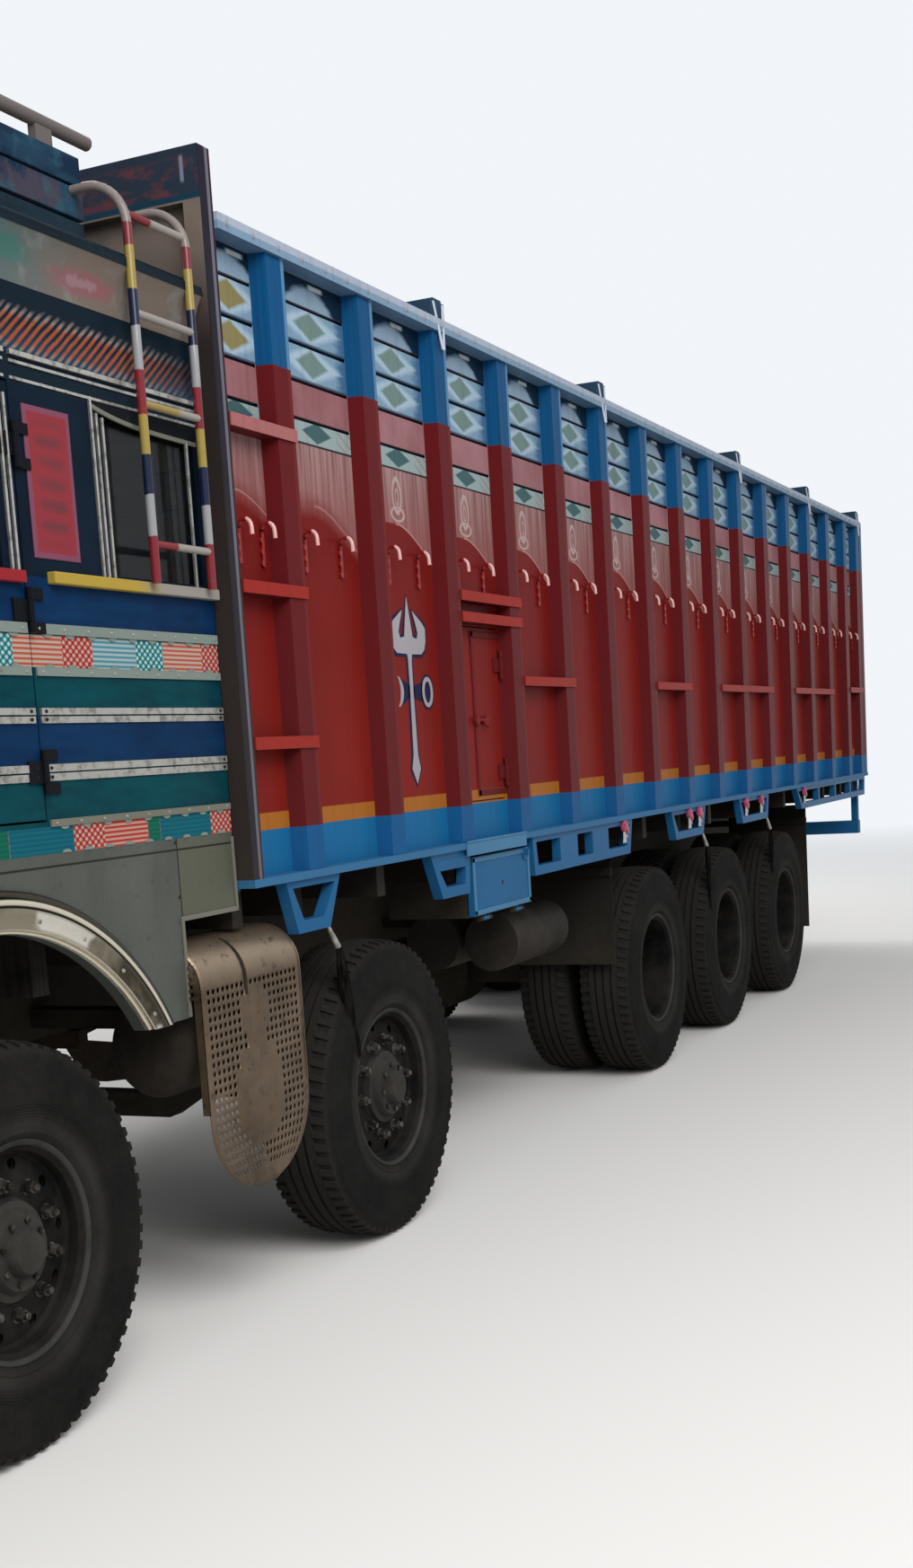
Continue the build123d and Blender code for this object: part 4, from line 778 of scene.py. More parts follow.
# Rope hooks. Round bar bent over outward, welded by its leg to the walls' skin with three beads, two to a
# bay, in the red of the panel, with a painted highlight in pale pink on the outer tip.
HOOK_Z, HOOK_R, BAYS_BEHIND = 2.280, 0.0068, 15
# Rows of hooks: place of the first one, how many
HOOK_ROWS = [
    (POST_REAR - 0.17 * BAY, BAYS_BEHIND),
    (POST_REAR - 0.575 * BAY, BAYS_BEHIND),
    (3.377, 1),
    (3.239, 1),
]
f = Finish("hook_paint")
# The outer tip is painted pale pink as a painted highlight.
hook_tip_highlight = abs(f.y).above(WALL_SKIN_Y + 0.036, 0.004)
hook_paint = f.finish(f.paint(rgb(205, 156, 150), rgb(122, 26, 24), hook_tip_highlight), 0.2, coat=0.6)


def rope_hook(side):
    """One hook, the foot of its leg on the wall's skin at the origin."""
    path = [(0.0, 0.005, 0.0), (0.0, 0.006, 0.098)]
    for step in range(9):
        turn = math.pi * (1 - step / 8)
        path.append((0.0, 0.0285 + 0.0225 * math.cos(turn), 0.104 + 0.026 * math.sin(turn)))
    path.append((0.0, 0.052, 0.082))
    hook = Shape().tube([(x, side * y, z) for x, y, z in path], HOOK_R, 10)
    bead = [(0.0, -0.008), (0.010, -0.005), (0.011, 0.005), (0.0, 0.009)]
    for z in (0.010, 0.045, 0.080):
        hook.turned(bead, (0.004, side * 0.004, z), 8, False)
    return hook


for side, name in SIDES:
    hooks = []
    for x, count in HOOK_ROWS:
        start = (x, side * WALL_SKIN_Y, HOOK_Z)
        master = pattern_piece(rope_hook(side), True)
        hooks.append(row.grow(Piece=master, Count=count, Start=start, Step=(-BAY, 0, 0), Finish=hook_paint))
    gather("rope_hooks_" + name, hooks, "chassis")

# Trident. A traditional sign cut from thin sheet and painted silver over a wider navy one, set on the
# third bay of each wall, with a small hourglass drum tied across its shaft.
TRIDENT_X = 2.230
silver_paint = enamel("silver_paint", rgb(152, 147, 152), 0.35, 0.15, 2.0, 0.1)
navy_paint = enamel("navy_paint", rgb(26, 30, 58), 0.35, 0.15, 2.0, 0.1)
SIGN = [
    (0.0, 2.246), (0.026, 2.138), (0.034, 2.104), (0.070, 2.098), (0.080, 2.120), (0.066, 2.152),
    (0.042, 2.198), (0.116, 2.160), (0.144, 2.138), (0.143, 2.092), (0.128, 2.060), (0.102, 2.044),
    (0.020, 2.042), (0.014, 2.02), (0.013, 1.90), (0.018, 1.68), (0.035, 1.628), (0.0, 1.574),
]


def outset(outline, margin):
    """The same outline grown on all sides, its sharp points held back."""
    grown = []
    for i, (px, pz) in enumerate(outline):
        ax, az = outline[i - 1]
        bx, bz = outline[(i + 1) % len(outline)]
        before, after = math.hypot(px - ax, pz - az), math.hypot(bx - px, bz - pz)
        nx, nz = (pz - az) / before + (bz - pz) / after, (ax - px) / before + (px - bx) / after
        length = max(math.hypot(nx, nz), 0.7)
        grown.append((px - nx / length * margin * 1.1, pz - nz / length * margin * 1.1))
    return grown


def loop(shape, centre, outer, inner, span, y):
    """A flat ring, or part of one, with its own width and height."""
    turns = [span[0] + (span[1] - span[0]) * k / 24 for k in range(25)]
    for one, two in zip(turns, turns[1:]):
        corners = [(r, t) for r, t in ((outer, one), (outer, two), (inner, two), (inner, one))]
        spots = [(centre[0] + r[0] * math.cos(t), centre[1] + r[1] * math.sin(t)) for r, t in corners]
        shape.plate(spots, lambda u, v, end: (u, y[end], v))


mirrored_sign = SIGN + [(-x, z) for x, z in SIGN[-2:0:-1]]
SIGN_LAYERS = ((navy_paint, 0.012, 0.0015), (silver_paint, 0.0, 0.003))
DRUM_Z, DRUM_REAR, DRUM_FRONT = 1.907, TRIDENT_X - 0.136, TRIDENT_X + 0.128
FULL, CRESCENT = (0, 2 * math.pi), (math.pi * 0.62, math.pi * 1.38)
for side, name in SIDES:
    for layer, (material, margin, out) in enumerate(SIGN_LAYERS):
        y = (side * (WALL_SKIN_Y - 0.001), side * (WALL_SKIN_Y + out))
        sign = Shape()
        outline = outset(mirrored_sign, margin) if margin else mirrored_sign
        sign.plate([(TRIDENT_X + u, v) for u, v in outline], lambda u, v, end: (u, y[end], v))
        if layer:
            loop(sign, (DRUM_REAR, DRUM_Z), (0.046, 0.056), (0.027, 0.040), FULL, y)
            loop(sign, (DRUM_FRONT, DRUM_Z), (0.060, 0.058), (0.038, 0.058), CRESCENT, y)
        else:
            loop(sign, (DRUM_REAR, DRUM_Z), (0.056, 0.065), (0.001, 0.001), FULL, y)
            waist = [(-0.11, 1.945), (0.0, 1.925), (0.085, 1.955)]
            waist += [(0.085, 1.860), (0.0, 1.888), (-0.11, 1.868)]
            sign.plate([(TRIDENT_X + u, v) for u, v in waist], lambda u, v, end: (u, y[end], v))
        sign.put(f"trident_{layer}_{name}", "chassis", material, "body_paint")

# Side door. A sheet leaf between two posts, framed with flat strip, and shut by a sliding bolt that runs
# in two keeps and has a short bent pull.
bolt_red = enamel("bolt_red", rgb(112, 32, 29), 0.3, 0.2, 2.0, 0.1)
DOOR_X, DOOR_BOLT_Z = 1.70, 1.80
bolt = Shape().tube([(DOOR_X - 0.01, 1.207, DOOR_BOLT_Z), (DOOR_X - 0.16, 1.207, DOOR_BOLT_Z)], 0.007)
for x in (DOOR_X - 0.03, DOOR_X - 0.12):
    bolt.box((x - 0.012, x + 0.012), (1.194, 1.214), (DOOR_BOLT_Z - 0.016, DOOR_BOLT_Z + 0.016))
bolt.tube([(DOOR_X - 0.09, 1.207, DOOR_BOLT_Z), (DOOR_X - 0.09, 1.232, DOOR_BOLT_Z - 0.03)], 0.006)
bolt.put("side_door_bolt", "side_door", bolt_red, "body_paint", True)
rail_edge = Shape()
rim_x = (1.305, 1.705)
for z in (1.515, 2.135):
    rail_edge.box((rim_x[0] + 0.03, rim_x[1] - 0.03), (1.194, 1.200), (z - 0.012, z + 0.012))
for x in (rim_x[0] + 0.045, rim_x[1] - 0.045):
    rail_edge.box((x - 0.012, x + 0.012), (1.194, 1.200), (1.503, 2.147))
rail_edge.put("side_door_rims", "side_door", wall_paint, "body_paint", False, 0.002)

# Headboard. A framed sheet taller than the walls, brown-grey with a navy head that carries a dim brushed
# motif, its edge dark with a narrow pale strip as a painted highlight, and painted shadow on its face
# behind the cab.
board = Finish("headboard_paint")
tone = board.noise(1.6, 4.0)
colour = board.paint(rgb(96, 82, 80), rgb(122, 112, 100), (tone * 0.6 + (3.4 - board.z)).above(0.5, 0.7))
colour = board.paint(rgb(64, 52, 48), colour, board.noise(2.4, 4.0).above(0.58, 0.25) * 0.6)
motif = board.noise(9.0, 3.0, 0.6, (1.0, 1.0, 2.2)).above(0.54, 0.12)
head = board.paint(rgb(84, 52, 58), rgb(40, 50, 62), motif * board.z.between(3.30, 3.40, 0.02))
specks = board.noise(14.0, 3.0).above(0.64, 0.06) * board.z.between(3.33, 3.39, 0.02)
head = board.paint(rgb(96, 74, 62), head, specks)
head = board.paint(rgb(24, 54, 70), head, board.z.below(3.302, 0.006))
strip = abs(board.y).between(1.188, 1.200, 0.004) * board.z.between(3.335, 3.405, 0.01)
head = board.paint(rgb(112, 116, 132), head, strip)
colour = board.paint(head, colour, board.z.above(3.285, 0.004))
side_edge = abs(board.y).above(1.2485, 0.0005)
colour = board.paint(rgb(34, 32, 42), colour, side_edge)
# A narrow pale strip on the edge, a painted highlight.
colour = board.paint(rgb(96, 94, 104), colour, side_edge * board.x.between(3.476, 3.492, 0.001))
# Painted shadow on the front face near its outer edges, where the cab stands close.
cab_gap_shadow = abs(board.y).above(1.185, 0.02) * board.x.above(3.52, 0.002) * board.z.below(3.02, 0.25)
colour = board.paint(rgb(26, 22, 24), colour, cab_gap_shadow * 0.85)
colour = board.paint(rgb(74, 34, 34), colour, board.x.below(3.468, 0.001))
colour, dusted = board.dusty(colour, 0.2, DUST, 1.0, 3.0)
wear("headboard", board.finish(colour, dusted * 0.3 + 0.42, bump=board.noise(7.0, 3.0), depth=0.004))
pale_iron = enamel("pale_iron", rgb(138, 142, 152), 0.38, 0.2, 2.6, 0.1)

# Rear frame and tail doors. Corner posts and lintel in blue, the leaves in the walls' scheme with their
# sunken panes as the fields and hung on three pins a side.
tail_paint = body_enamel(
    "tail_paint", lambda f: f.x * 0.0, lambda f: (abs(f.y) - 0.58) * 0.62,
    lambda f: f.x.below(-5.952, 0.002), lambda f: f.x * 0.0, lambda f: f.x * 0.0, lambda f: f.x.above(-5.913)
)
for name in ("tail_door_left", "tail_door_right"):
    wear(name, tail_paint)
frame_paint = Finish("frame_blue")
colour = frame_paint.paint(BLUE, MAROON, frame_paint.z.above(2.886, 0.003))
colour = frame_paint.paint(SKY, colour, frame_paint.z.below(FOOT_Z, 0.003))
colour, dusted = frame_paint.dusty(colour, 0.25, DUST, 1.0, 2.6)
wear("rear_frame", frame_paint.finish(colour, dusted * 0.3 + 0.34, bump=frame_paint.noise(6.0), depth=0.003))
bars = Shape()
for y in (0.30, 0.86):
    bars.tube([(-5.972, y, 1.40), (-5.972, y, 3.10)], 0.011, 12)
    for z in (1.50, 2.25, 3.00):
        bars.box((-5.976, -5.956), (y - 0.022, y + 0.022), (z - 0.014, z + 0.014))
    bars.box((-5.990, -5.978), (y - 0.012, y + 0.17), (1.78, 1.81))
for side, name in SIDES:
    pair = Shape().join(bars, Matrix.Diagonal((1, side, 1, 1)))
    pair.put("tail_lock_bars_" + name, "tail_door_" + name, pale_iron, "body_blue", True)
bars.mesh.free()

# Cross ties. Square beams over the open body with a cap block on each rail, dark blue, each clipped to
# the rail by a white iron V.
tie_paint = enamel("tie_blue", rgb(42, 62, 82), 0.38, 0.15, 3.0, 0.3)
wear("cross_ties", tie_paint)
white_iron = enamel("white_iron", rgb(188, 198, 210), 0.35, 0.12, 2.8, 0.1)
TIE_X = [POST_REAR - k * BAY + 0.055 for k in (2, 5, 9, 12)] + [-5.81]
clips = Shape()
for x in TIE_X:
    for turn in (1, -1):
        outline = [(x, 3.150), (x + turn * 0.012, 3.150)]
        outline += [(x + turn * 0.046, 3.318), (x + turn * 0.034, 3.318)]
        clips.plate(outline, lambda u, v, end: (u, 1.2505 + 0.0135 * (v < 3.3) + 0.005 * end, v))
clips.mirrored().put("tie_clips", "chassis", white_iron, "body_paint", False, 0.001)
rivets = Shape().turned([(0.0, 0.006), (0.006, 0.005), (0.010, 0.0), (0.0, 0.0)], (0, 0, 0), 8, False)
master = pattern_piece(rivets, True)
RAIL_RIVETS, RIVET_PITCH = 62, 0.1512
nails = []
for side in (1, -1):
    turn = (0, 0, 0 if side > 0 else math.pi)
    run = {"Start": (3.42, side * 1.262, 3.237), "Step": (-RIVET_PITCH, 0, 0), "Turn": turn}
    nails.append(row.grow(Piece=master, Count=RAIL_RIVETS, Finish=pale_iron, **run))
gather("top_rail_rivets", nails, "chassis")

# Frames and tool box below the body. Square bar welded into trapezoids, a plate on the floor's edge and a
# sheet box painted black as painted shade, with a drop lid, the bars and the lid in the blue of the body's
# foot.
sky_paint = enamel("sky_paint", rgb(22, 86, 130), 0.3, 0.1, 1.9, 0.3, 0.1)
for name in ("side_rails", "tool_box_lid", "rear_bumper"):
    wear(name, sky_paint)
# The box's body takes the frame's black, as painted shade behind the lid.
wear("tool_box", frame_material)
BOX_X, BOX_FACE_Y = (1.262, 1.858), 1.230
pale_sky = enamel("pale_sky", rgb(62, 112, 146), 0.3, 0.1, 1.9, 0.3, 0.1)
edges, rim_y = Shape(), (BOX_FACE_Y - 0.001, BOX_FACE_Y + 0.004)
for z in (1.053, 1.260):
    edges.box((BOX_X[0] + 0.004, BOX_X[1] - 0.004), rim_y, (z - 0.010, z + 0.010))
for x in (BOX_X[0] + 0.014, BOX_X[1] - 0.014):
    edges.box((x - 0.010, x + 0.010), rim_y, (1.044, 1.269))
edges.put("tool_box_rims", "tool_box_lid", pale_sky, "body_blue", False, 0.0015)
disc = [(0.0, 0.0), (0.009, 0.0), (0.009, 0.0006), (0.0, 0.0006)]
hole = Shape().turned(disc, (1.56, BOX_FACE_Y, 1.150), 16, False)
hole.put("tool_box_keyhole", "tool_box_lid", frame_material, "body_blue")
hasp = Shape().box((1.295, 1.327), (BOX_FACE_Y, BOX_FACE_Y + 0.008), (1.222, 1.271))
hasp.box((1.303, 1.319), (BOX_FACE_Y + 0.006, BOX_FACE_Y + 0.022), (1.240, 1.266))
hasp.put("tool_box_hasp", "tool_box_lid", sky_paint, "body_blue", False, 0.002)
header = Shape().box((1.350, 1.955), (1.2535, 1.2605), (1.283, 1.338))
header.box((1.350, 1.955), (1.2535, 1.2640), (1.333, 1.341))
header.put("floor_edge_plate", "chassis", pale_sky, "body_blue", False, 0.0015)

# Cab sides and doors. Coachbuilt sheet steel, enamelled in level bands of teal and blue with two brushed
# ornament strips, a feathered frieze under a flowered cove, and bare sheet below the lowest strip.
CAB_SIDE_Y, CAB_BACK_X, DOOR_GAP_X, DOOR_FRONT_X, CAB_NOSE_X = 1.200, 3.550, 4.428, 5.372, 5.860


def lattice(f, u, step_u, step_v, radius):
    """White dots in a staggered grid."""
    dots = None
    for shift in (0.0, 0.5):
        a = (u / step_u + shift).wrap() - 0.5
        b = (f.z / step_v + shift).wrap() - 0.5
        dot = (a * a + b * b).root().below(radius, 0.15)
        dots = dot if dots is None else dots.greater(dot)
    return dots


def lines(f, pitch, share=0.5):
    return (f.z / pitch).wrap().below(share, 0.2)


def ornament(f, u, period, cuts, colours):
    """A strip cut into blocks of dots and stripes that repeat along the cab."""
    t = (u / period).wrap()
    dots, fine = lattice(f, u, 0.026, 0.021, 0.24), lines(f, 0.0125)
    strip = None
    for low, high, (ground, mark, kind) in zip(cuts, cuts[1:], colours):
        block = f.paint(mark, ground, dots if kind == "dots" else fine)
        strip = block if strip is None else f.paint(block, strip, t.between(low, high, 0.01))
    return strip


def coachwork(name, lining):
    f = Finish(name)
    z = f.z
    nose = f.x.above(5.866, 0.004)
    u = f.x * (1.0 - nose) + f.y * nose
    shade = f.noise(2.0, 4.0, 0.6)
    brush = f.noise(30.0, 3.0, 0.6, (0.3, 0.3, 1.0))
    teal = f.paint(rgb(5, 62, 70), rgb(4, 44, 54), (shade * 0.6 + brush * 0.4).above(0.5, 0.25))
    blue = f.paint(rgb(9, 44, 78), rgb(7, 30, 60), (shade * 0.6 + brush * 0.4).above(0.5, 0.25))
    colour = f.paint(blue, teal, z.above(1.71).greater(z.above(2.045)) * (1.0 - z.between(1.83, 2.045)))
    window = f.paint(rgb(16, 30, 44), rgb(9, 17, 28), shade.above(0.5, 0.35))
    colour = f.paint(window, colour, z.above(2.175, 0.002))
    cream, scarlet, dotted_teal = rgb(158, 148, 134), rgb(148, 34, 36), rgb(20, 94, 102)
    upper = ornament(f, 4.50 - u, 0.66, (0.0, 0.30, 0.50, 0.80, 1.0), (
        (rgb(160, 72, 58), cream, "lines"), (scarlet, cream, "dots"),
        (rgb(62, 120, 132), rgb(144, 156, 158), "lines"), (dotted_teal, rgb(150, 178, 174), "dots")))
    lower = ornament(f, 4.321 - u, 0.66, (0.0, 0.203, 0.509, 0.60, 1.0), (
        (scarlet, cream, "dots"), (rgb(150, 46, 42), rgb(168, 130, 116), "lines"),
        (rgb(16, 88, 70), rgb(14, 80, 66), "lines"), (rgb(14, 76, 96), rgb(14, 88, 96), "lines")))
    colour = f.paint(upper, colour, z.between(1.952, 2.032, 0.002))
    colour = f.paint(lower, colour, z.between(1.484, 1.552, 0.002))
    colour = f.paint(rgb(18, 30, 40), colour, z.between(2.640, 2.724, 0.003))
    wander = f.noise(9.0, 3.0) * 0.016
    plume = ((u * -1.0 - (z - 2.72) * 1.25 + wander) / 0.031).wrap()
    tier = (z + f.noise(24.0, 2.0) * 0.03 - 2.735) / 0.105
    ends = (abs(tier - 0.5) * 2.0).above(0.68, 0.35)
    hue = f.paint(rgb(140, 72, 46), rgb(116, 76, 54), f.noise(3.0, 2.0).above(0.5, 0.2))
    tip = f.paint(rgb(124, 112, 106), hue, ends)
    bristles = (0.55 + f.noise(30.0) * 0.8).lesser(1.0)
    strokes = abs(plume - 0.5).below(0.24, 0.22) * bristles * tier.between(0.0, 1.0, 0.2)
    strokes = strokes * (u.above(3.72, 0.3) * 0.85 + 0.15)
    # The frieze's ground darkens upward into a dark band under the cove, a painted shadow of the cove's
    # overhang.
    frieze = f.paint(tip, f.paint(rgb(34, 56, 74), rgb(16, 28, 38), z.below(2.76, 0.06)), strokes)
    colour = f.paint(frieze, colour, z.between(2.722, 2.882, 0.003))
    cove = f.paint(rgb(78, 94, 96), rgb(104, 94, 86), (u + wander * 9.0).above(4.36, 0.35))
    cove = f.paint(rgb(116, 120, 116), cove, f.noise(11.0, 3.0, 0.6).above(0.60, 0.12) * 0.5)
    leaf = (((u - 4.47 + wander * 4.0) / 0.13) ** 2 + ((z - 2.955) / 0.035) ** 2).root()
    cove = f.paint(rgb(56, 98, 92), cove, (leaf + f.noise(20.0) * 0.8).below(1.25, 0.6) * 0.8)
    petal = (((u - 4.13 + wander * 5.0) / 0.15) ** 2 + ((z - 2.935) / 0.035) ** 2).root()
    cove = f.paint(rgb(124, 80, 86), cove, (petal + f.noise(26.0) * 0.8).below(1.25, 0.5) * 0.85)
    cove = f.paint(rgb(136, 112, 116), cove, (petal + f.noise(40.0) * 1.1).below(0.95, 0.2) * 0.6)
    colour = f.paint(cove, colour, z.above(2.882, 0.002))
    raw = z.below(1.484, 0.002)
    smear = f.noise(2.6, 5.0, 0.65, (1.0, 1.0, 0.5))
    sheet = f.paint(rgb(92, 95, 88), rgb(72, 75, 71), smear.above(0.5, 0.35))
    hatch = f.x.below(3.851, 0.001) * z.above(1.24)
    sheet = f.paint(rgb(92, 93, 79), sheet, hatch * 0.8)
    sheet = f.paint(rgb(48, 44, 38), sheet, f.noise(34.0, 4.0, 0.7).above(0.66, 0.06) * 0.4)
    seams = abs(z - 1.452).below(0.003, 0.002).greater(abs(f.x - 3.851).below(0.003, 0.002))
    screws = (abs(f.x - 3.858).below(0.006, 0.002) * abs((z / 0.155).wrap() - 0.5).below(0.035, 0.01))
    sheet = f.paint(rgb(34, 32, 28), sheet, seams.greater(screws) * 0.9)
    colour = f.paint(sheet, colour, raw)
    wood = (f.z * 26.0 + f.noise(3.0, 3.0, 0.6, (0.4, 0.4, 4.0)) * 3.0).wrap()
    inner = f.paint(rgb(78, 52, 34), rgb(52, 34, 24), wood.above(0.5, 0.35))
    colour = f.paint(inner, colour, lining(f))
    out = (((f.x - 4.710) ** 2) + ((z - 0.545) ** 2)).root()
    trim = out.below(0.871, 0.001) * abs(f.y).above(1.2015, 0.0005)
    black_leaf = abs(f.y).above(1.2005, 0.0005) * abs(f.x - 4.428).below(0.075) * z.below(2.6) * (1.0 - trim)
    colour = f.paint(rgb(18, 20, 24), colour, black_leaf)
    colour, dusted = f.dusty(colour, 0.05, DUST, 0.6, 2.0)
    metal = raw * (1.0 - dusted) * (1.0 - black_leaf)
    rough = 0.28 + 0.12 * shade + dusted * 0.4 + raw * 0.16
    ripple = f.noise(4.0, 2.0) * 0.4 + brush * 0.06
    return f.finish(colour, rough, metal * 0.5, bump=ripple, depth=0.004)


side_coach = coachwork("coachwork", lambda f: abs(f.y).below(1.1605))
for name in ("cab_side_left", "cab_side_right", "cab_door_left", "cab_door_right"):
    wear(name, side_coach)
bright = Finish("bright_trim")
worn = bright.noise(24.0, 4.0, 0.7)
colour = bright.paint(rgb(104, 100, 90), rgb(176, 174, 168), worn.above(0.56, 0.15) * 0.7)
colour, dusted = bright.dusty(colour, 0.25, DUST, 0.8, 2.4)
rough = 0.26 + 0.3 * worn + dusted * 0.2
bright_material = bright.finish(colour, rough, 0.85 - 0.5 * dusted, bump=worn, depth=0.0008)
white_strip = enamel("white_strip", rgb(114, 124, 118), 0.34, 0.08, 2.4, 0.1)
cream_strip = enamel("cream_strip", rgb(106, 105, 95), 0.34, 0.08, 2.4, 0.1)
yellow_sill = Finish("sill_paint")
run = yellow_sill.noise(12.0, 3.0) * 0.1 + yellow_sill.x
colour = yellow_sill.paint(rgb(158, 134, 58), rgb(134, 128, 120), run.above(3.96, 0.14))
colour = yellow_sill.paint(rgb(132, 38, 42), colour, run.above(4.43, 0.01))
sill_material = yellow_sill.finish(colour, 0.34, bump=yellow_sill.noise(20.0), depth=0.001)
hinge_black = enamel("hinge_black", rgb(18, 21, 26), 0.4, 0.3, 2.4, 0.1)

# The bands of trim: low edge, high edge, how far they stand out, what they are
TRIMS = [
    (1.552, 1.570, 0.006, "cream"),
    (1.667, 1.686, 0.005, "bright"),
    (1.690, 1.709, 0.007, "bright"),
    (1.812, 1.829, 0.005, "bright"),
    (1.833, 1.850, 0.007, "bright"),
    (1.930, 1.951, 0.006, "white"),
    (2.034, 2.060, 0.006, "white"),
    (2.648, 2.655, 0.004, "bright"),
    (2.688, 2.695, 0.005, "bright"),
    (2.706, 2.718, 0.010, "bright"),
]
TRIM_FINISH = {"cream": cream_strip, "bright": bright_material, "white": white_strip}
SCALLOPS = ((2.034, -1), (1.951, 1), (1.484, 1), (1.552, -1))


def scalloped(shape, x0, x1, z, way):
    """Half discs of white cut along one edge of a strip."""
    count = int((x1 - x0) / 0.086)
    step = (x1 - x0) / count
    turns = [math.pi * k / 6 for k in range(7)]
    for k in range(count):
        cx = x0 + (k + 0.5) * step
        arc = [(cx + 0.018 * math.cos(t), z + way * 0.009 * math.sin(t)) for t in turns]
        shape.plate(arc, lambda u, v, end: (u, CAB_SIDE_Y + 0.0035 * end, v))
    return shape


def studs_along(x0, x1, z, out, material, pitch=0.092, size=0.0045):
    """A level row of small domed heads on the cab's side."""
    profile = [(0.0, 0.0), (size, 0.0), (size * 0.8, size * 0.55), (0.0, size * 0.8)]
    dome = Shape().turned(profile, (0, 0, 0), 8, False)
    count = max(2, int((x1 - x0) / pitch) + 1)
    start = (x0, CAB_SIDE_Y + out, z)
    return row.grow(Piece=pattern_piece(dome, True), Count=count, Start=start,
                    Step=((x1 - x0) / (count - 1), 0, 0), Finish=material)


def dress(name, body, x0, x1, low_limit=0.0, sides=(1, -1)):
    """All level trims over one stretch of the cab's side."""
    meshes = []
    for kind, material in TRIM_FINISH.items():
        part = Shape()
        for low, high, out, what in TRIMS:
            if what == kind and low > low_limit:
                part.box((x0, x1), (CAB_SIDE_Y - 0.001, CAB_SIDE_Y + out), (low, high))
        if kind == "white":
            for z, way in SCALLOPS:
                if z > low_limit:
                    scalloped(part, x0 + 0.01, x1 - 0.01, z, way)
        if part.mesh.faces:
            meshes.append(shape_mesh(part, material))
    for z, out in ((2.047, 0.006), (1.9405, 0.006), (1.561, 0.006), (2.6515, 0.004)):
        if z > low_limit:
            meshes.append(studs_along(x0 + 0.02, x1 - 0.02, z, out, bright_material))
    for z in (1.677, 1.6995, 1.821, 1.8415):
        if z > low_limit:
            meshes.append(studs_along(x0 + 0.018, x1 - 0.018, z, 0.007, hinge_black, x1 - x0 - 0.037, 0.005))
    for side in sides:
        copies = [mesh.copy() for mesh in meshes]
        if side < 0:
            for copy in copies:
                copy.transform(MIRROR)
                copy.flip_normals()
        tag = "left" if side > 0 else "right"
        gather(f"{name}_{tag}", copies, body + tag if body.endswith("_") else body)


dress("cab_trim_rear", "chassis", CAB_BACK_X + 0.004, DOOR_GAP_X - 0.012)
dress("cab_trim_door", "cab_door_", DOOR_GAP_X + 0.012, DOOR_FRONT_X - 0.012, 1.575)
dress("cab_trim_front", "chassis", DOOR_FRONT_X + 0.008, CAB_NOSE_X - 0.07)

sills = Shape().box((CAB_BACK_X + 0.004, 4.335), (CAB_SIDE_Y - 0.001, 1.226), (2.160, 2.190))
sills.mirrored().put("window_sills", "chassis", sill_material, "cab_paint", False, 0.003)
for side, tag in SIDES:
    sill = Shape()
    sill.box((DOOR_GAP_X + 0.016, DOOR_FRONT_X - 0.03), (side * 1.199, side * 1.222), (2.155, 2.185))
    sill.put("door_sill_" + tag, "cab_door_" + tag, sill_material, "cab_paint", False, 0.003)
    pull = Shape().tube([(5.20, side * 1.203, 1.895), (5.20, side * 1.226, 1.90), (5.29, side * 1.226, 1.90),
                         (5.29, side * 1.203, 1.895)], 0.006)
    pull.put("door_handle_" + tag, "cab_door_" + tag, bright_material, "raw_sheet", True)

# Wheel arch trim and the raw sheet's edges. A polished moulding of ridges and grooves round the arch, cut
# level at the sheet's foot, and pale angle along the sheet's rear corner.
ARCH_X, ARCH_Z, SHEET_FOOT_Z, ARCH_PARTS = 4.710, 0.545, 0.972, 64
polished = Finish("polished_arch")
reach = (((polished.x - ARCH_X) ** 2) + ((polished.z - ARCH_Z) ** 2)).root()
patch = polished.noise(2.6, 4.0, 0.6)
# Painted reflection: brown patches of reflected ground, and bright streaks of glare on the wide band.
colour = polished.paint(rgb(62, 53, 41), rgb(134, 125, 108), patch.above(0.5, 0.12))
glare = polished.noise(4.5, 2.0, 0.5).above(0.53, 0.04) * reach.between(0.778, 0.822, 0.012)
colour = polished.paint(rgb(222, 216, 204), colour, glare * 0.75)
# Painted highlights along the ridges.
ridges = reach.between(0.833, 0.846, 0.004).greater(reach.below(0.774, 0.003))
colour = polished.paint(rgb(206, 198, 180), colour, ridges)
colour = polished.paint(rgb(70, 67, 58), colour, reach.above(0.851, 0.002))
# Painted shade in the grooves.
grooves = abs(reach - 0.8495).below(0.0028, 0.002).greater(abs(reach - 0.829).below(0.0035, 0.002))
colour = polished.paint(rgb(28, 25, 21), colour, grooves.greater(abs(reach - 0.8665).below(0.002, 0.002)))
waves = polished.noise(8.0, 3.0)
polished_material = polished.finish(colour, 0.2 + 0.12 * patch, 0.9, bump=waves, depth=0.004)
# The moulding's section from its outer edge inward: distance from the arch's centre, place across
MOULDING = [
    (0.8705, 1.2005), (0.8705, 1.2085), (0.866, 1.2105), (0.857, 1.2110), (0.852, 1.2085),
    (0.8485, 1.2085), (0.8475, 1.2215), (0.844, 1.2245), (0.839, 1.2255), (0.834, 1.2245),
    (0.831, 1.2225), (0.828, 1.2225), (0.825, 1.2240), (0.812, 1.2232), (0.799, 1.2228),
    (0.786, 1.2232), (0.7745, 1.2240), (0.772, 1.2215), (0.771, 1.2110), (0.768, 1.2125),
    (0.7635, 1.2110), (0.761, 1.2060), (0.761, 1.1990),
]
moulding, sections = Shape(), []
for k in range(ARCH_PARTS + 1):
    section = []
    for radius, y in MOULDING:
        start = math.asin((SHEET_FOOT_Z - ARCH_Z) / radius)
        turn = start + (math.pi - 2 * start) * k / ARCH_PARTS
        spot = (ARCH_X + radius * math.cos(turn), y, ARCH_Z + radius * math.sin(turn))
        section.append(moulding.mesh.verts.new(spot))
    sections.append(section)
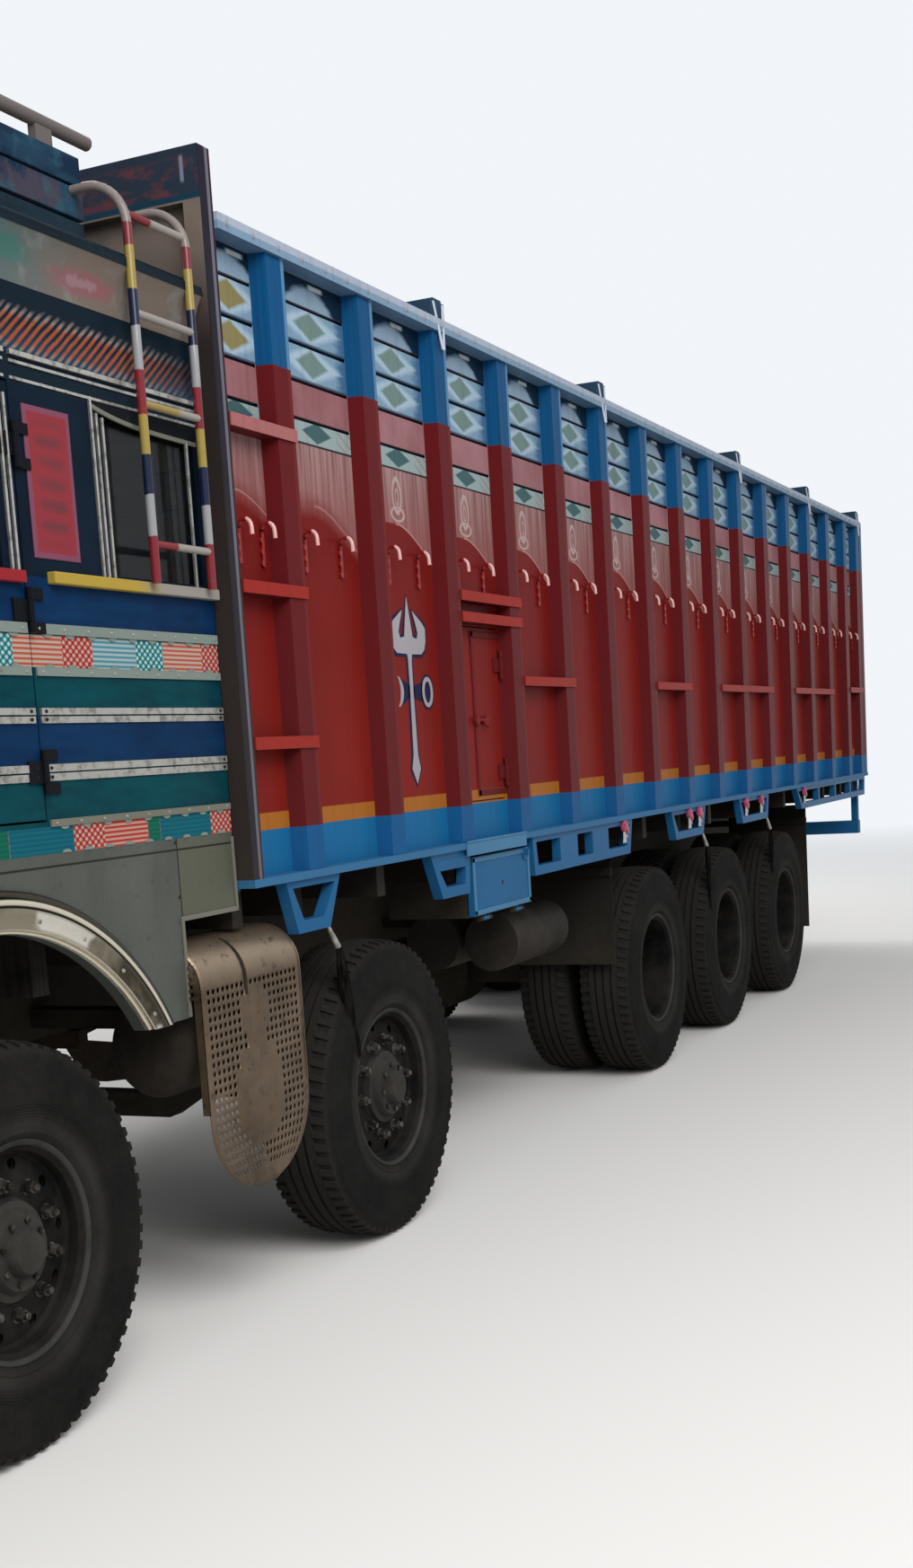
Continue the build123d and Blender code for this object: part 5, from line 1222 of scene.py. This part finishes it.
moulding.skin(sections).mirrored().put("arch_trim", "chassis", polished_material, "polished_steel", True)
arch_screws = Shape()
for k in range(9):
    turn = math.radians(36 + 13.5 * k)
    head = (ARCH_X + 0.799 * math.cos(turn), 1.2225, ARCH_Z + 0.799 * math.sin(turn))
    arch_screws.turned([(0.0, 0.0), (0.007, 0.0), (0.005, 0.0035), (0.0, 0.004)], head, 8, False)
arch_screws.mirrored().put("arch_screws", "chassis", bright_material, "raw_sheet", True)
corner = Shape().box((3.556, 3.862), (1.199, 1.2045), (1.248, 1.262))
corner.box((3.848, 3.8605), (1.199, 1.2045), (0.972, 1.250))
corner.box((3.550, 3.560), (1.199, 1.2045), (1.248, 1.470))
corner.mirrored().put("sheet_angles", "chassis", cream_strip, "raw_sheet", False, 0.001)

# Cab windows. Bright upright rails, a dark sheet hood with a curved cream edge under the rear window's
# head, and a red framed panel on the pillar whose field holds only soft level rows.
rails = Shape()
for x, high in ((4.092, 2.655), (4.070, 2.616), (4.044, 2.608), (3.640, 2.600)):
    rails.box((x - 0.004, x + 0.004), (CAB_SIDE_Y - 0.001, CAB_SIDE_Y + 0.008), (2.190, high))
rails.mirrored().put("window_rails", "chassis", bright_material, "raw_sheet", False, 0.0015)
for side, tag in SIDES:
    rail = Shape()
    for x in (4.452, 4.474, 5.325, 5.347):
        rail.box((x - 0.004, x + 0.004), (side * 1.199, side * 1.208), (2.186, 2.610))
    rail.put("door_rails_" + tag, "cab_door_" + tag, bright_material, "raw_sheet", False, 0.0015)
hood, hood_edge = Shape(), Shape()
line = []
for k in range(17):
    t = k / 16
    line.append((4.092 - 0.503 * t, 2.640 - 0.030 * (1 - (1 - t) ** 4) - 0.006 * t))
for piece, high, low, out in ((hood, None, 0.0, 0.002), (hood_edge, 0.0, 0.012, 0.006)):
    top = [(x, 2.648 if high is None else z - high) for x, z in line]
    foot = [(x, z - low) for x, z in line]
    piece.plate(top + foot[::-1], lambda u, v, end: (u, 1.199 + (0.001 + out) * end, v))
hood.mirrored().put("window_hood", "chassis", hinge_black, "cab_paint", False, 0.0008)
hood_edge.mirrored().put("window_hood_edge", "chassis", cream_strip, "cab_paint", False, 0.001)
plaque = Finish("plaque_paint")
px, pz = abs(plaque.x - 4.285), abs(plaque.z - 2.409)
band = plaque.noise(6.0, 2.0)
rows = abs(((plaque.z + band * 0.02) / 0.052).wrap() - 0.5).below(0.25, 0.4) * (band * 1.6).lesser(1.0)
rows = rows * px.below(0.055, 0.03) * pz.below(0.150, 0.04) * 0.9
colour = plaque.paint(rgb(88, 52, 56), rgb(128, 48, 54), rows)
border = px.above(0.080, 0.004).greater(pz.above(0.172, 0.004))
colour = plaque.paint(rgb(112, 66, 84), colour, border)
plaque_material = plaque.finish(colour, 0.36, bump=band, depth=0.001)
panel = Shape().box((4.190, 4.380), (CAB_SIDE_Y - 0.001, CAB_SIDE_Y + 0.004), (2.222, 2.596))
panel.mirrored().put("pillar_panel", "chassis", plaque_material, "cab_paint", False, 0.002)

# Cab front. The same bands and trims across the nose under a split windscreen, with a barred grille in a
# bright frame and two wipers on the screen.
wear("cab_front", coachwork("nose_coachwork", lambda f: f.x.below(5.745, 0.002)))
nose = Shape()
for low, high, out, what in TRIMS[:7]:
    nose.box((5.899, 5.900 + out), (-1.19, 1.19), (low, high))
for y in (-0.63, 0.63):
    nose.box((5.899, 5.908), (y - 0.012, y + 0.012), (1.165, 1.515))
for z in (1.165, 1.515):
    nose.box((5.899, 5.908), (-0.642, 0.642), (z - 0.012, z + 0.012))
nose.put("nose_trim", "chassis", bright_material, "raw_sheet", False, 0.002)
wipers = Shape()
for y in (-0.55, 0.55):
    wipers.tube([(5.912, y, 2.03), (5.892, y - 0.18, 2.30)], 0.006)
    wipers.box((5.868, 5.900), (y - 0.36, y - 0.02), (2.293, 2.309))
    wipers.turned([(0.0, 0.0), (0.016, 0.0), (0.014, 0.016), (0.0, 0.016)], (5.898, y, 2.03), 12, False, "X")
wipers.put("wipers", "chassis", hinge_black, "dash_plastic")

# Cab rear wall, floor and roof. Boarded lining inside; the floor is chequered steel; the roof deck is
# sheet, dull teal, with a cove board below its edge that leans out over the sides.
lining = Finish("lining_wood")
grain = lining.noise(4.0, 4.0, 0.6, (5.0, 0.5, 5.0))
boards = (lining.z / 0.11).wrap()
colour = lining.paint(rgb(72, 48, 32), rgb(48, 32, 23), grain.above(0.5, 0.3))
colour = lining.paint(rgb(30, 18, 12), colour, boards.below(0.04, 0.02))
wear("cab_rear", lining.finish(colour, 0.5, bump=boards.below(0.05, 0.03) * -1.0, depth=0.003, coat=0.05))
checker = Finish("cab_floor_steel")
lines_a = ((checker.x + checker.y) / 0.04).wrap().between(0.35, 0.65, 0.1)
lines_b = ((checker.x - checker.y) / 0.04).wrap().between(0.35, 0.65, 0.1)
colour = checker.paint(rgb(58, 54, 49), rgb(32, 31, 30), checker.noise(5.0, 5.0).above(0.5, 0.3))
wear("cab_floor", checker.finish(colour, 0.6, 0.2, bump=lines_a.greater(lines_b), depth=0.002))
roof = Finish("roof_paint")
tone = roof.noise(2.5, 4.0)
colour = roof.paint(rgb(15, 30, 38), rgb(10, 20, 28), tone.above(0.5, 0.35))
colour = roof.paint(DUST, colour, roof.noise(4.0, 5.0).above(0.5, 0.3) * roof.z.above(3.058, 0.002) * 0.6)
roof_material = roof.finish(colour, 0.45 + 0.2 * tone, bump=roof.noise(8.0), depth=0.003, coat=0.1)
wear("cab_roof", roof_material)
bow = [(0.0, 0.0), (0.004, 0.03), (0.013, 0.07), (0.026, 0.105), (0.040, 0.128)]
face = [(CAB_SIDE_Y + 0.002 + out, 2.882 + rise) for out, rise in bow]
back = [(CAB_SIDE_Y - 0.002, 3.010), (CAB_SIDE_Y - 0.002, 2.882)]
cove_board = Shape().plate(face + back, lambda u, v, end: ((CAB_BACK_X + 0.003, 5.80)[end], u, v))
cove_board.mirrored().put("cove_boards", "chassis", side_coach, "cab_paint", True)
gutter = Shape().box((CAB_BACK_X + 0.002, 5.905), (1.205, 1.244), (3.010, 3.022))
gutter.box((CAB_BACK_X + 0.002, 5.905), (1.238, 1.244), (3.010, 3.034))
gutter.mirrored().put("roof_gutters", "chassis", roof_material, "cab_paint", False, 0.002)

# Roof rack. Painted planks on edge with a flat crown board ahead, a pipe along each side, and a pipe
# ladder with hand-painted rings that stands on the left sill.
planks = Finish("rack_paint")
brush = planks.noise(5.0, 4.0, 0.65, (0.5, 0.5, 2.0))
colour = planks.paint(rgb(38, 66, 84), rgb(20, 38, 58), brush.above(0.5, 0.25))
flower = planks.noise(9.0, 3.0).above(0.55, 0.12) * planks.z.between(3.165, 3.245, 0.01)
colour = planks.paint(rgb(68, 60, 70), colour, flower * 0.8)
colour = planks.paint(rgb(48, 86, 98), colour, planks.noise(13.0, 3.0).above(0.60, 0.12) * 0.5)
colour = planks.paint(rgb(28, 34, 38), colour, planks.z.below(3.16, 0.01) * 0.7)
rack_material = planks.finish(colour, 0.42, bump=brush, depth=0.002)
pipe_brown = enamel("pipe_brown", rgb(96, 88, 86), 0.4, 0.2, 4.0, 0.1, 0.2)
rack = Shape()
for low, high, out in ((3.062, 3.158, 1.076), (3.166, 3.246, 1.080), (3.254, 3.330, 1.078)):
    for x0, x1 in ((3.862, 4.75), (4.753, 5.61)):
        rack.box((x0, x1), (out - 0.024, out), (low, high))
for x in (3.90, 4.45, 5.05, 5.58):
    rack.box((x - 0.02, x + 0.02), (1.036, 1.054), (3.060, 3.335))
rack.mirrored()
crown = [(-1.08, 3.060), (-1.08, 3.330), (-0.90, 3.352), (-0.594, 3.400), (-0.30, 3.392), (0.0, 3.404)]
crown += [(-y, z) for y, z in crown[-2::-1]]
rack.plate(crown, lambda u, v, end: (5.612 + 0.026 * end, u, v))
rack.put("rack_boards", "chassis", rack_material, "cab_paint", False, 0.003, replaced=("roof_rack",))
pipes = Shape()
pipe = Shape().tube([(3.802, 1.065, 3.385), (4.6, 1.065, 3.385), (5.50, 1.065, 3.385)], 0.019, 14)
for x in (4.01, 4.75, 5.38):
    pipe.box((x - 0.035, x + 0.035), (1.053, 1.077), (3.326, 3.372))
pipes.join(pipe)
pipe.mesh.free()
pipes.mirrored().put("rack_pipes", "chassis", pipe_brown, "cab_paint", True)

LADDER_RINGS = [
    (2.18, (112, 32, 38)), (2.31, (134, 134, 136)), (2.42, (20, 28, 54)), (2.525, (140, 122, 60)),
    (2.63, (112, 32, 38)), (2.745, (134, 134, 136)), (2.86, (20, 28, 54)), (2.955, (140, 122, 60)),
    (3.065, (108, 40, 46)), (3.125, (124, 114, 110)),
]
rings = Finish("ladder_rings")
colour = None
for low, tint in LADDER_RINGS:
    shifted = rings.z + (rings.noise(30.0) - 0.5) * 0.01
    colour = rgb(*tint) if colour is None else rings.paint(rgb(*tint), colour, shifted.above(low, 0.003))
worn = rings.noise(40.0, 4.0, 0.7).above(0.66, 0.06)
colour = rings.paint(rgb(74, 62, 54), colour, worn * 0.7)
ring_material = rings.finish(colour, 0.26, bump=rings.noise(60.0), depth=0.0006, coat=0.5)
steps = Finish("rung_paint")
ends = steps.x.above(3.80, 0.01) * steps.z.below(2.4).greater(steps.z.above(3.0))
colour = steps.paint(rgb(112, 34, 40), rgb(136, 130, 124), ends)
colour = steps.paint(rgb(138, 120, 66), colour, steps.z.between(2.6, 2.7) * steps.x.above(3.74, 0.02))
step_material = steps.finish(colour, 0.28, bump=steps.noise(60.0), depth=0.0006, coat=0.4)
LADDER_X, LADDER_Y, LADDER_TOP, LADDER_BEND = (3.625, 3.910), 1.246, 3.235, 0.120
ladder = Shape()
for x in LADDER_X:
    path = [(x, LADDER_Y, 2.184), (x, LADDER_Y, 2.6), (x, LADDER_Y, LADDER_TOP - LADDER_BEND)]
    for k in range(1, 11):
        t = math.pi / 2 * k / 10
        rise = LADDER_BEND * math.sin(t)
        path.append((x, LADDER_Y - LADDER_BEND * (1 - math.cos(t)), LADDER_TOP - LADDER_BEND + rise))
    path.append((x, 1.079, LADDER_TOP))
    ladder.tube(path, 0.0132, 14)
ladder.put("ladder", "chassis", ring_material, "cab_paint", True)
rungs = Shape()
for z, y in ((2.290, LADDER_Y), (2.660, LADDER_Y), (2.895, LADDER_Y), (3.150, 1.2408)):
    rungs.tube([(LADDER_X[0] + 0.002, y, z), (LADDER_X[1] - 0.002, y, z)], 0.011, 12)
rungs.put("ladder_rungs", "chassis", step_material, "cab_paint", True)

# Cab glass. Dark sheet with a little green in it, clear enough that the seats and the dashboard can be
# seen behind it.
pane = Finish("glass")
pane.finish(rgb(22, 28, 30), 0.05, shine=0.3, plain={"Alpha": 0.4})
wear("cab_glass", pane.material)

# Seats. Foam on steel boxes under woven covers, a bench along the rear wall, each cushion crowned and
# drawn in at its corners, with a seam across it.
def cushion(name, x, y, z, crown, sides=(1,)):
    """A padded block: full in the middle, drawn in at the corners, with a sewn cross seam."""
    pad = Shape()
    spans = [sorted(p) for p in (x, y, z)]
    bmesh.ops.create_cube(pad.mesh, size=1.0)
    bmesh.ops.subdivide_edges(pad.mesh, edges=pad.mesh.edges[:], cuts=13, use_grid_fill=True)
    size = [p[1] - p[0] for p in spans]
    middle = [(p[0] + p[1]) / 2 for p in spans]
    for vert in pad.mesh.verts:
        u = [2 * c for c in vert.co]
        thick = min(range(3), key=lambda i: size[i])
        others = [i for i in range(3) if i != thick]
        edge = max(abs(u[i]) for i in others)
        draw = 1 - 0.035 * (abs(u[others[0]]) * abs(u[others[1]])) ** 3
        puff = 1 - crown * edge ** 4
        seam = 1 - 0.12 * math.exp(-(u[others[0]] / 0.03) ** 2)
        for i in range(3):
            share = puff * seam if i == thick else draw
            vert.co[i] = middle[i] + u[i] / 2 * size[i] * share
    piece = pad.put(name, "chassis", cover, "seat_cover", True)
    return piece


weave = Finish("seat_cover")
threads = (weave.x / 0.006).wrap().above(0.5, 0.3) * (weave.y / 0.006).wrap().above(0.5, 0.3)
stripe = (weave.y / 0.14).wrap().between(0.3, 0.7, 0.02)
colour = weave.paint(rgb(120, 30, 34), rgb(62, 20, 28), stripe)
cover = weave.finish(colour, 0.88, bump=threads, depth=0.0012)
box_steel = enamel("seat_box", rgb(52, 54, 58), 0.5, 0.3, 2.0, 0.1)
stands = Shape().box((4.62, 5.08), (0.56, 1.00), (1.45, 1.71)).mirrored()
stands.box((3.592, 4.20), (-1.10, 1.10), (1.45, 1.74))
stands.put("seat_stands", "chassis", box_steel, "seat_cover", False, 0.006, replaced=("cab_seats",))
for side, tag in SIDES:
    y = sorted((side * 0.50, side * 1.06))
    cushion("seat_base_" + tag, (4.60, 5.12), y, (1.71, 1.85), 0.25)
    cushion("seat_back_" + tag, (4.56, 4.68), y, (1.852, 2.45), 0.3)
cushion("bunk", (3.592, 4.20), (-1.10, 1.10), (1.74, 1.89), 0.22)

# Dashboard. A grained moulding, dark with paler wear, with the steering column and its rimmed wheel on
# the right.
dash = Finish("dash_plastic")
colour = dash.paint(rgb(60, 56, 52), rgb(30, 30, 32), dash.noise(6.0, 4.0).above(0.55, 0.3))
wear("dashboard", dash.finish(colour, 0.6, bump=dash.noise(300.0, 2.0), depth=0.0008))

# Mirrors, bumper and lamps. Black cases on bent arms; a deep pressed bumper striped at its ends; moulded
# lamps with ribbed lenses.
mirror = Finish("mirror_black")
glassy = mirror.x.below(5.8452, 0.0004) * abs(mirror.y).above(1.30)
colour = mirror.paint(rgb(190, 198, 204), rgb(20, 20, 22), glassy)
wear("mirrors", mirror.finish(colour, 0.3 - glassy * 0.24, glassy * 0.95))
bumper = Finish("bumper_paint")
slant = ((bumper.y + bumper.z) / 0.16).wrap().above(0.5, 0.02) * abs(bumper.y).above(0.62, 0.003)
colour = bumper.paint(rgb(198, 160, 52), rgb(26, 62, 116), abs(bumper.y).above(0.62, 0.003))
colour = bumper.paint(rgb(28, 28, 30), colour, slant)
colour, dusted = bumper.dusty(colour, 0.35, DUST, 0.3, 1.4)
dents = bumper.noise(7.0)
wear("front_bumper", bumper.finish(colour, dusted * 0.3 + 0.36, bump=dents, depth=0.003, coat=0.1))
lens_plastic = Finish("lamp_lens")
ribs = (lens_plastic.y / 0.012).wrap()
colour = lens_plastic.paint(rgb(170, 24, 22), rgb(214, 216, 212), lens_plastic.x.below(0.0))
amber = lens_plastic.x.below(0.0) * abs(lens_plastic.y).above(1.09)
colour = lens_plastic.paint(rgb(214, 120, 26), colour, amber)
wear("lamps", lens_plastic.finish(colour, 0.12, bump=abs(ribs - 0.5), depth=0.002, coat=0.6))

# Silencer guard. Polished sheet gone brown with heat, rolled over at the top and cut to a tongue below,
# pierced in rows that leave two plain raised fields, with the silencer and its strap inside.
guard_steel = Finish("guard_steel")
heat = guard_steel.noise(3.0, 5.0, 0.65)
colour = guard_steel.paint(rgb(114, 97, 80), rgb(72, 60, 47), heat.above(0.5, 0.3))
# The rolled top is painted lighter, a painted highlight along the roll.
colour = guard_steel.paint(rgb(178, 158, 134), colour, guard_steel.z.above(1.08, 0.08) * 0.6)
colour = guard_steel.paint(rgb(52, 45, 38), colour, guard_steel.noise(26.0, 4.0, 0.7).above(0.62, 0.08) * 0.6)
colour, dusted = guard_steel.dusty(colour, 0.2, DUST, 0.35, 1.1)
scratch = guard_steel.noise(20.0, 3.0, 0.6, (1.0, 1.0, 12.0))
rough, metal = 0.3 + 0.2 * heat + dusted * 0.35, 0.85 - 0.7 * dusted
guard_material = guard_steel.finish(colour, rough, metal, bump=scratch, depth=0.0008)
GUARD_X0, GUARD_X1, GUARD_OUT, GUARD_TOP, GUARD_FOOT = 3.272, 3.852, 1.245, 1.180, 0.410
ROLL, LIP, TONGUE, FIELD_X = 0.130, 0.060, 0.250, 3.562
GUARD_COLUMNS, GUARD_ROWS = 22, 34
SKIRT = GUARD_TOP - ROLL - GUARD_FOOT
RUN = LIP + ROLL * math.pi / 2 + SKIRT


def guard_spot(u, v):
    """A point of the sheet: u from rear to front, v from the top's inner edge down to the tongue."""
    along = v * RUN
    wide = 1.0
    if along < LIP:
        y, z = GUARD_OUT - ROLL - LIP + along, GUARD_TOP
    elif along < LIP + ROLL * math.pi / 2:
        t = (along - LIP) / ROLL
        y, z = GUARD_OUT - ROLL + ROLL * math.sin(t), GUARD_TOP - ROLL + ROLL * math.cos(t)
    else:
        y, z = GUARD_OUT, GUARD_TOP - ROLL - (along - LIP - ROLL * math.pi / 2)
        low = GUARD_FOOT + TONGUE - z
        if low > 0:
            wide = max(math.sqrt(max(1 - (low / TONGUE) ** 2, 0.0)), 0.16)
    x = (GUARD_X0 + GUARD_X1) / 2 + (u - 0.5) * (GUARD_X1 - GUARD_X0) * wide
    for cz, rx, rz in ((0.945, 0.075, 0.075), (0.700, 0.13, 0.15)):
        near = ((x - FIELD_X) / rx) ** 2 + ((z - cz) / rz) ** 2
        if near < 1:
            y -= 0.006 * (1 - near) ** 0.5 - 0.006
    return (x, y - 0.006, z)


def guard_hole(i, j):
    x, y, z = guard_spot((i + 0.5) / GUARD_COLUMNS, (j + 0.5) / GUARD_ROWS)
    fields = ((x - FIELD_X) / 0.09) ** 2 + ((z - 0.945) / 0.09) ** 2 < 1
    fields = fields or ((x - FIELD_X) / 0.145) ** 2 + ((z - 0.700) / 0.165) ** 2 < 1
    if fields or z > 1.04 or z < 0.475 or i < 1 or i >= GUARD_COLUMNS - 1:
        return 0.0
    return 0.30


sheet = pierced(Shape(), GUARD_COLUMNS, GUARD_ROWS, guard_spot, guard_hole, 12)
guard = sheet.put(
    "guard_sheet", "chassis", guard_material, "polished_steel", True, replaced=("silencer_guard",)
)
gauge = guard.modifiers.new("gauge", "SOLIDIFY")
gauge.thickness, gauge.offset = 0.002, 0.0
inside = Shape()
pot = [(0.0, 0.0), (0.10, 0.0), (0.140, 0.012), (0.150, 0.03)]
pot += [(0.150, 0.51), (0.140, 0.528), (0.10, 0.54), (0.0, 0.54)]
inside.turned(pot, (3.292, 1.035, 0.870), 48, False, "X")
inside.box((3.522, 3.602), (0.4305, 1.035), (0.89, 0.95))
inside.box((3.522, 3.602), (1.035, 1.238), (0.85, 0.89))
inside.tube([(3.36, 0.95, 0.83), (3.36, 0.82, 0.76), (3.36, 0.66, 0.74)], 0.045, 16)
inside.put("silencer", "chassis", cast_material, "polished_steel", True)


def roll_arc(inset):
    """The curve of the rolled top, from its level end to the upright sheet, this far inside the face."""
    turns = [math.pi / 2 * k / 8 for k in range(9)]
    reach = ROLL - inset
    return [(GUARD_OUT - ROLL + reach * math.sin(t), GUARD_TOP - ROLL + reach * math.cos(t)) for t in turns]


LIP_EDGE_Y = GUARD_OUT - ROLL - LIP
lips = Shape()
for x in (GUARD_X0, GUARD_X1 - 0.006):
    arc = [(LIP_EDGE_Y, GUARD_TOP - 0.004)] + roll_arc(0.004) + [(GUARD_OUT - 0.004, 0.68)]
    arc += [(GUARD_OUT - 0.030, 0.68)] + roll_arc(0.030)[::-1] + [(LIP_EDGE_Y, GUARD_TOP - 0.030)]
    lips.plate(arc, lambda u, v, end: (x + 0.006 * end, u, v))
for k in range(5):
    z = 1.02 + 0.022 * k
    rib_y = (GUARD_OUT - 0.05 - 0.004 * k, GUARD_OUT - 0.012 - 0.006 * k)
    lips.box((GUARD_X1, GUARD_X1 + 0.007), rib_y, (z, z + 0.010))
lips.put("guard_lips", "chassis", guard_material, "polished_steel")
mid_strap = Shape()
strap = [(LIP_EDGE_Y, GUARD_TOP - 0.001)] + roll_arc(0.001) + [(GUARD_OUT - 0.001, 1.0)]
under = [(y - 0.004, z - 0.004) for y, z in strap]
mid_strap.plate(strap + under[::-1], lambda u, v, end: (3.60 + 0.012 * end, u, v))
mid_strap.put("guard_strap", "chassis", cast_material, "polished_steel")

# Tanks. The square fuel tank on the right in dull aluminium grey with its straps and filler cap, and the
# air reservoirs in black.
tank = Finish("tank_paint")
colour = tank.paint(rgb(120, 119, 115), rgb(20, 20, 21), tank.y.below(0.0))
colour = tank.paint(rgb(52, 48, 44), colour, tank.noise(4.0, 5.0).above(0.56, 0.2) * 0.6)
colour, dusted = tank.dusty(colour, 0.35, DUST, 0.4, 1.3)
metal = tank.y.below(0.0) * 0.5
wear("tanks", tank.finish(colour, 0.4 + dusted * 0.3, metal, bump=tank.noise(9.0), depth=0.003))
bands = Shape()
for x in (0.65, 1.50):
    bands.box((x - 0.03, x + 0.03), (-1.203, -0.637), (1.0385, 1.043))
    bands.box((x - 0.03, x + 0.03), (-1.205, -1.2005), (0.66, 0.98))
filler_cap = [(0.0, 0.0), (0.055, 0.0), (0.055, 0.03), (0.05, 0.038), (0.0, 0.038)]
bands.turned(filler_cap, (1.1, -0.92, 1.038), 24, False, "Z")
bands.put("tank_straps", "chassis", frame_material, "chassis_paint", False, 0.002)

# Mud flaps. Black rubber sheet hung from angle iron, with a fine grain and with dust that thins out
# towards the top.
rubber_sheet = Finish("flap_rubber")
colour, dusted = rubber_sheet.dusty(rgb(20, 20, 19), 0.35, DUST, 0.3, 1.1)
wear("mud_flaps", rubber_sheet.finish(colour, 0.85, bump=rubber_sheet.noise(60.0), depth=0.001))

# Side lamps with pom-poms. Red lamps in white star plates on the low frames, each with a ball of pink
# yarn, and black hair tassels that hang from silver caps.
star_white = enamel("star_white", rgb(176, 176, 180), 0.35, 0.2, 2.0, 0.1)
lamp_red = Finish("side_lamp_red")
lamp_red.finish(rgb(136, 24, 32), 0.15, coat=0.6)
yarn = Finish("pink_yarn")
fuzz = yarn.noise(90.0, 4.0, 0.75)
colour = yarn.paint(rgb(190, 62, 106), rgb(134, 24, 60), fuzz.above(0.5, 0.2))
yarn_material = yarn.finish(colour, 0.95, bump=fuzz, depth=0.008, plain={"Sheen Weight": 0.4})
STAR_X, STAR_Z = (0.02, -1.075, -1.265, -2.26, -2.62, -3.80), 1.262
random.seed(11)
for number, x in enumerate(STAR_X):
    z = STAR_Z
    star = Shape()
    points = []
    for k in range(16):
        reach = 0.052 if k % 2 == 0 else 0.030
        turn = math.pi * k / 8 + 0.2
        points.append((x + reach * math.cos(turn), z + reach * math.sin(turn)))
    star.plate(points, lambda u, v, end: (u, 1.240 + 0.003 * end, v))
    star.mirrored().put(f"star_plate_{number}", "chassis", star_white, "body_blue")
    light = Shape().turned([(0.0, 0.0), (0.022, 0.0), (0.020, 0.010), (0.0, 0.014)], (x, 1.243, z), 16, False)
    light.mirrored().put(f"side_lamp_{number}", "chassis", lamp_red.material, "lamp_lens", True)
    ball = Shape()
    bmesh.ops.create_icosphere(ball.mesh, subdivisions=4, radius=0.030)
    for vert in ball.mesh.verts:
        vert.co *= 1 + random.uniform(-0.09, 0.09)
        vert.co.y *= 0.55
        vert.co += Vector((x + 0.034, 1.246, z + 0.022))
    ball.mirrored().put(f"pompom_{number}", "chassis", yarn_material, "body_blue", True)
    tail = Shape()
    for k in range(7):
        off = (k - 3) * 0.004
        tail.tube([(x + 0.034 + off, 1.246, z), (x + 0.034 + off * 1.6, 1.248, z - 0.035),
                   (x + 0.034 + off * 2.0, 1.247, z - 0.060)], 0.0022, 5)
    tail.mirrored().put(f"pompom_tail_{number}", "chassis", star_white, "body_blue")

hair = Finish("black_hair")
strand = hair.noise(60.0, 2.0, 0.5, (1.0, 1.0, 0.1)).above(0.55, 0.2)
colour = hair.paint(rgb(32, 28, 26), rgb(10, 10, 11), strand)
hair_material = hair.finish(colour, 0.55)
# Tassels: place of the cap and of the foot along the truck, height of the cap and of the foot
TASSELS = [
    (3.045, 2.90, 1.142, 0.67),
    (-1.345, -1.42, 1.158, 0.72),
    (-2.79, -2.86, 1.162, 0.80),
]
STRANDS = 70
for number, (x, foot_x, top, foot) in enumerate(TASSELS):
    hang = [(x, 1.222, top + 0.012), (x - 0.012, 1.228, top - 0.02), (x - 0.045, 1.234, top - 0.075)]
    cap = Shape().tube(hang, lambda t: 0.005 + 0.007 * t, 12)
    cap.put(f"tassel_cap_{number}", "chassis", bright_material, "raw_sheet", True)
    strands = Shape()
    for k in range(STRANDS):
        a, b = random.uniform(-1, 1), random.uniform(-1, 1)
        length = random.uniform(0.82, 1.0)
        path = []
        for step in range(7):
            t = step / 6
            spread = 0.008 + 0.022 * math.sin(math.pi * min(t * 1.25, 1.0)) * (1 - 0.5 * t)
            px = x - 0.045 + (foot_x - x + 0.045) * t ** 1.4 + a * spread
            pz = top - 0.07 + (foot - top + 0.07) * t * length
            path.append((px + 0.004 * math.sin(6 * t + k), 1.236 + b * spread * 0.4, pz))
        strands.tube(path, lambda t: 0.0022 * (1 - 0.7 * t), 3)
    strands.put(f"tassel_{number}", "chassis", hair_material, "flap_rubber", True)

# Studio. A pale floor that fades into a pale world for camera and reflections, one broad soft lamp on the
# camera's side and a weaker one behind.
floor = Shape()
floor.faces([(-90, -90, 0), (90, -90, 0), (90, 90, 0), (-90, 90, 0)], [(0, 1, 2, 3)])
floor_data = bpy.data.meshes.new("floor")
floor.mesh.to_mesh(floor_data)
floor_piece = bpy.data.objects.new("floor", floor_data)
bpy.context.scene.collection.objects.link(floor_piece)
ground = Finish("floor")
beyond = (abs(ground.x) - 5.0).greater(0.0)
away = ((beyond ** 2) + (ground.y ** 2)).root()
faded = ((away - 3.0) / 15.0).lesser(1.0).greater(0.0)
ground.finish(rgb(232, 230, 226), 0.9)
ground.tree.links.new((1.0 - faded).socket, ground.shader.inputs["Alpha"])
floor_data.materials.append(ground.material)

world = bpy.data.worlds.new("studio")
bpy.context.scene.world = world
world.use_nodes = True
links = world.node_tree.links
back = world.node_tree.nodes["Background"]
paths = world.node_tree.nodes.new("ShaderNodeLightPath")
ray = Field(world.node_tree, paths.outputs["Is Camera Ray"])
seen = ray.greater(Field(world.node_tree, paths.outputs["Is Glossy Ray"]))
seen = seen.greater(Field(world.node_tree, paths.outputs["Is Transmission Ray"]))
strength = 0.55 + seen * 0.40
back.inputs["Color"].default_value = (0.93, 0.96, 1.0, 1.0)
links.new(strength.socket, back.inputs["Strength"])

for name, at, aim, size, power in (
    ("key", (9.0, 9.0, 9.0), (0.5, 1.0, 1.6), 8.0, 1500.0),
    ("fill", (-9.0, -8.0, 8.0), (0.0, 0.0, 1.6), 8.0, 900.0),
):
    lamp = bpy.data.lights.new(name, "AREA")
    lamp.size, lamp.energy = size, power
    holder = bpy.data.objects.new(name, lamp)
    turn = (Vector(at) - Vector(aim)).to_track_quat("Z", "Y")
    holder.matrix_world = Matrix.Translation(at) @ turn.to_matrix().to_4x4()
    bpy.context.scene.collection.objects.link(holder)
